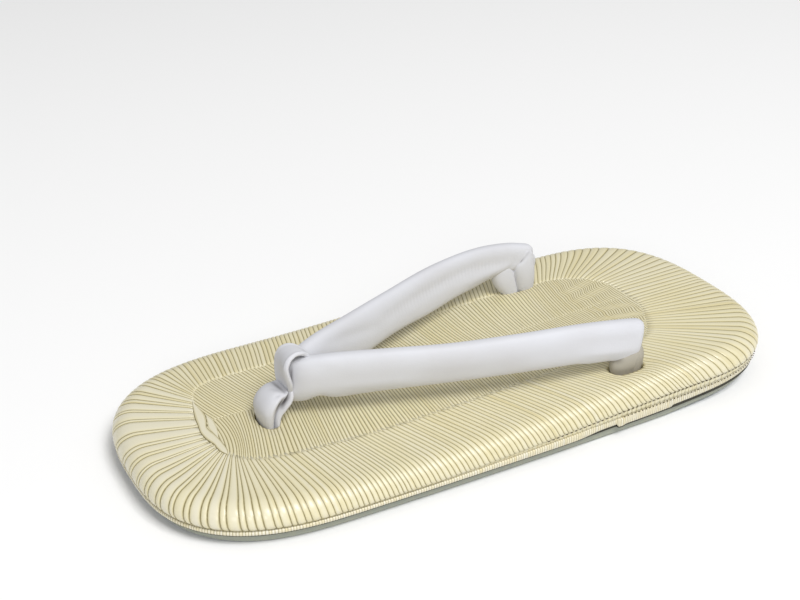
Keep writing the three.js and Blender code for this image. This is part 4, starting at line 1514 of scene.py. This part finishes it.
    def arm(self, side: int) -> Sheet:
        """Returns one arm, on the left for side 1 and on the right for side -1."""
        rows = []
        for run, spread, lift, width, depth, _ in self.ARM:
            x = (self.toe_x - self.front_back) * (1 - run) + (self.rear_x - self.overrun) * run
            y = self.toe_y * (1 - run) + self.rear_middle * run + side * spread * self.spread
            raised = float(swell(run - self.hump_run, self.hump_reach)) if side > 0 else 0.0
            z = float(self.outline.top(x)) + lift * self.lift + self.hump_lift * raised
            wide = (width + self.hump_width * raised) * self.width / 2
            rows.append((x, y, z, wide, depth * self.thickness / 2))
        lean = -side * np.array([row[5] for row in self.ARM], float)
        tube = Tube(np.array(rows), (0, 0, 1), around=72, step=0.5, ends=(2.8, 3.4), lean=lean)
        return tube.sheet(self.arm_creases(side), self.lower(side))

    def lower(self, side: int) -> Callable[[np.ndarray], np.ndarray]:
        """Returns how far an arm's lower edge reaches: it sags or draws up, and up again to its rear fold."""
        if side > 0:
            return lambda share: (1 - 0.24 * swell(share - 0.082, 0.03) + 0.1 * smoothstep(share, 0.78, 0.84)
                                  + 0.2 * smoothstep(share, 0.88, 0.97))
        return lambda share: (1 + 0.26 * swell(share - 0.27, 0.14) + 0.22 * swell(share - 0.58, 0.12)
                              - 0.45 * smoothstep(share, 0.74, 0.95))

    def arm_creases(self, side: int) -> tuple[Crease, ...]:
        """Returns the soft folds of one arm."""
        if side > 0:
            return (
                Crease(((70.2, 9.6, 27.0), (68, 11.2, 25.4), (65.6, 12.2, 24.7), (63.6, 12.7, 25.3)),
                       -1.6, 1.9),
                # This crease and the next also paint shade: a dark line along the band's edge and soft shade
                # on the arm's front end.
                Crease(((66.8, 6.6, 40.2), (69, 6.2, 39), (70.4, 5.8, 36.5), (70.9, 5.5, 33.5),
                        (70.8, 5.5, 30), (70.6, 5.5, 27)), 0.5, 2.0, 0.8),
                Crease(((70.5, 6.5, 38), (70.5, 6.5, 32), (70, 6.5, 27)), 0.0, 9.0, 0.14),
                Crease(((63.5, 11, 24.5), (62.8, 13, 27), (62, 14, 30)), 0.6, 1.6),
                Crease(((66, 7, 42), (62, 10, 40), (56, 13, 37)), -0.35, 2.5),
                Crease(((-20, 37, 37), (-40, 43, 35), (-58, 45, 32)), 0.4, 2.6),
                Crease(((-32, 41, 31), (-45, 45, 29), (-58, 46, 27)), -0.35, 1.8),
                Crease(((30, 21, 29), (10, 29, 29), (-12, 36, 30)), 0.35, 3.4),
                Crease(((56, 12, 27), (40, 18, 27.5), (24, 23, 28)), -0.3, 2.6),
            )
        return (
            Crease(((20, -15, 33), (-5, -23, 35), (-30, -30, 36), (-50, -32, 34)), 0.7, 3.0),
            Crease(((-20, -25, 30), (-38, -30, 31), (-50, -31, 32)), -0.6, 2.2),
            Crease(((50, -5, 35), (36, -9, 33), (24, -12, 31)), 0.5, 2.6),
            # This crease also paints shade in the fold near the arm's end.
            Crease(((-52, -30, 36), (-50, -30.5, 32.5), (-47, -31, 29.5)), 0.5, 1.3, 0.4),
        )

    def fold(self, rows: tuple[tuple[float, ...], ...], side: int, creases: tuple[Crease, ...] = ()) -> Sheet:
        """Returns one fold of an arm's end, on its way down into the hole."""
        placed = np.array(rows, float)
        placed[:, 1] = self.rear_middle + side * placed[:, 1]
        return Tube(placed, (1, 0, 0), around=44, step=0.4, ends=(1.6, 1.0), power=2.3).sheet(creases)

    def loop(self, rows: tuple[tuple[float, ...], ...], creases: tuple[Crease, ...],
             section: Section = Section.STUFFED, twist: tuple[float, ...] | None = None) -> Sheet:
        """Returns one piece of the toe loop."""
        placed = np.array([(x, y, z, wide, thick) for x, z, wide, thick, y in rows])
        lean = None if twist is None else np.array(twist, float)
        return Tube(placed, (0, 1, 0), section, around=72, step=0.35, ends=(0.9, 0.9), power=2.4,
                    lean=lean).sheet(creases)

    def build(self) -> None:
        """Builds and dresses the strap's pieces."""
        # The pinch's crease also paints shade in its fold.
        pinch = Crease(((75, -6, 26.4), (74.4, 1.5, 27.0), (73.4, 8, 26.6)), 0.5, 1.2, 0.55)
        # A crease at the far fold's top, with painted shade along it.
        far_shaded_crease = Crease(((-58, -32, 36), (-54, -31.5, 33), (-49, -31, 32)), 0.4, 1.0, 0.8)
        sheets = {
            "strap_arm_left": self.arm(1),
            "strap_arm_right": self.arm(-1),
            "strap_loop_band": self.loop(self.LOOP_BAND, (
                Crease(((73.6, 1, 26), (74, 1, 31), (73.6, 1, 37), (70, 2, 42)), 0.3, 2.4),), Section.ROLLED,
                self.LOOP_TWIST),
            "strap_loop_front": self.loop(self.LOOP_FRONT, (
                pinch, Crease(((75.5, 8.2, 26), (79.5, 8.6, 21.5), (80.2, 8.2, 16)), -0.3, 0.8),
                # These two creases paint faint shade in the fine folds from the pinch.
                Crease(((73.6, 8, 26.6), (76, 6.6, 26.4), (78, 5.6, 24.6)), 0.4, 0.7, 0.16),
                Crease(((73.8, 7, 27), (75.6, 3.6, 27), (77.4, 0.5, 25.8)), 0.3, 0.7, 0.12),
                Crease(((74.2, 8.2, 25.2), (76.2, 8.0, 23.4), (78.0, 8, 20.6), (78.8, 8.2, 18)), 0.7, 0.9),
                # A crease with no depth that only paints the shadow in the slit between the plies.
                Crease(((74.2, 8.2, 25.2), (75.8, 8.0, 23.2), (77.0, 8, 20.6), (77.8, 8.2, 18)),
                       0.0, 2.0, 0.95))),
            "strap_loop_back": self.loop(self.LOOP_BACK, (
                Crease(((72.6, 8.0, 25), (74.0, 8.0, 22.6), (75.8, 7.8, 20), (77.5, 7.6, 16)), 0.5, 1.0),
                # A crease with no depth that only paints the shadow in the slit between the plies.
                Crease(((72.4, 6.3, 25.0), (73.7, 6.3, 23.2), (74.5, 6.4, 22.2), (75.5, 6.7, 20.7)),
                       0.0, 2.0, 1.0))),
        }
        # The end fold gets painted shade round its lower part.
        sheets["strap_fold_end_left"] = self.fold(self.END_FOLD, 1, (
            Crease(((-62, 44, 20), (-57, 43, 20), (-52, 43, 20)), 0.0, 9.0, 0.2),))
        # Creases without depth that only paint shade: round the base of the folds at the hole, in the mouth
        # between the near folds, and over the near front lobe, which stands for the dark hollow between the
        # folds.
        rim = Crease(((-46, 42, 19.4), (-50, 45.6, 19.2), (-56, 46, 19.2), (-62, 44, 19.4)), 0.0, 3.0, 0.4)
        mouth_shadow = Crease(((-48.2, 40.6, 24.6), (-48.8, 42.0, 24.0), (-49.8, 43.4, 24.2)), 0.0, 2.6, 1.0)
        hollow_shadow = Crease(((-46.5, 41, 28), (-46.5, 41, 24), (-46.5, 41, 19)), 0.0, 9.0, 1.0)
        for side, word in ((1, "left"), (-1, "right")):
            sheets[f"strap_fold_outer_{word}"] = self.fold(self.OUTER_FOLD, side, (rim, mouth_shadow))
            front = self.FRONT_LOBE if side < 0 else tuple(
                (x - 3.4, away, z, 0.6 * wide, thick) for x, away, z, wide, thick in self.FRONT_LOBE)
            sheets[f"strap_fold_front_{word}"] = self.fold(front, side, (hollow_shadow,) if side > 0 else ())
            sheets[f"strap_fold_rear_{word}"] = self.fold(self.REAR_LOBE, side, (far_shaded_crease,))
        for name, sheet in sheets.items():
            thing = solid_from(name, sheet, False)
            # The folds in the near arm's shade get the leather with painted shade
            finish = self.painted_shade_finish if name in self.SHADED_FOLDS else self.finish
            dress(thing, finish, ("upper_strap",))


class Lamp(NamedTuple):
    """A square soft light."""

    name: str
    towards: tuple[float, float, float]  # from the sandal to the lamp
    away: float  # in metres, as is the size
    size: float
    power: float  # in watts


@dataclass
class Studio:
    """A white floor, soft light from above and the camera."""

    finish: FloorFinish = FloorFinish()
    azimuth: float = 150.98
    elevation: float = 28.10
    distance: float = 588.25
    target: tuple[float, float, float] = (-21.3, -76.85, 0.0)
    focal_pixels: float = 1296.5
    frame_width: float = 800.0
    frame_height: float = 600.0
    centre: tuple[float, float] = (402.5, 302.7)
    sensor: float = 36.0
    floor_size: float = 6000.0
    lamps: tuple[Lamp, ...] = (Lamp("key", (-0.12, 0.5, 0.87), 3.0, 1.4, 66.0),
                               Lamp("fill", (0.5, 0.75, 0.5), 1.6, 0.6, 5.0))
    room: float = 0.40

    def direction(self) -> Vector:
        """Returns the direction from the target back to the camera."""
        azimuth, elevation = math.radians(self.azimuth), math.radians(self.elevation)
        return Vector((math.sin(azimuth) * math.cos(elevation),
                       -math.cos(azimuth) * math.cos(elevation), math.sin(elevation)))

    def camera(self) -> None:
        """Places the camera at the photograph's view."""
        data = bpy.data.cameras.new("camera")
        data.sensor_width = self.sensor
        data.lens = self.focal_pixels * self.sensor / self.frame_width
        data.shift_x = (self.frame_width / 2 - self.centre[0]) / self.frame_width
        data.shift_y = (self.centre[1] - self.frame_height / 2) / self.frame_width
        data.clip_start = 0.01
        camera = bpy.data.objects.new("camera", data)
        back = self.direction()
        camera.location = (Vector(self.target) + back * self.distance) * MM
        camera.rotation_euler = back.to_track_quat("Z", "Y").to_euler()
        bpy.context.collection.objects.link(camera)
        bpy.context.scene.camera = camera

    def floor(self) -> None:
        """Adds the plain floor."""
        Bench.clear()
        bpy.ops.mesh.primitive_plane_add(size=self.floor_size * MM, location=(0, 0, 0))
        floor = bpy.context.object
        floor.name = "floor"
        floor.data.materials.append(self.finish.material())

    def hang(self, lamp: Lamp) -> None:
        """Adds one lamp, turned to the sandal."""
        data = bpy.data.lights.new(lamp.name, "AREA")
        data.size = lamp.size
        data.energy = lamp.power
        light = bpy.data.objects.new(lamp.name, data)
        direction = Vector(lamp.towards).normalized()
        light.location = direction * lamp.away
        light.rotation_euler = direction.to_track_quat("Z", "Y").to_euler()
        bpy.context.collection.objects.link(light)

    def light(self) -> None:
        """Adds the lamps and the room's light."""
        for lamp in self.lamps:
            self.hang(lamp)
        world = bpy.data.worlds.new("room")
        world.use_nodes = True
        world.node_tree.nodes["Background"].inputs["Color"].default_value = (1.0, 1.0, 1.0, 1.0)
        world.node_tree.nodes["Background"].inputs["Strength"].default_value = self.room
        bpy.context.scene.world = world
        bpy.context.scene.view_settings.view_transform = "Standard"

    def build(self) -> None:
        """Sets up the floor, lights and camera."""
        self.floor()
        self.light()
        self.camera()


def main() -> None:
    """Builds the sandal piece by piece, then the studio."""
    logging.basicConfig(level=logging.INFO, format="%(message)s")
    outline = Outline()
    Footbed(outline).build()
    Outsole(outline).build()
    HeelPatch(outline).build()
    Binding(outline).build()
    Stitches(outline).build()
    Strap(outline).build()
    Studio().build()


if __name__ == "__main__":
    main()
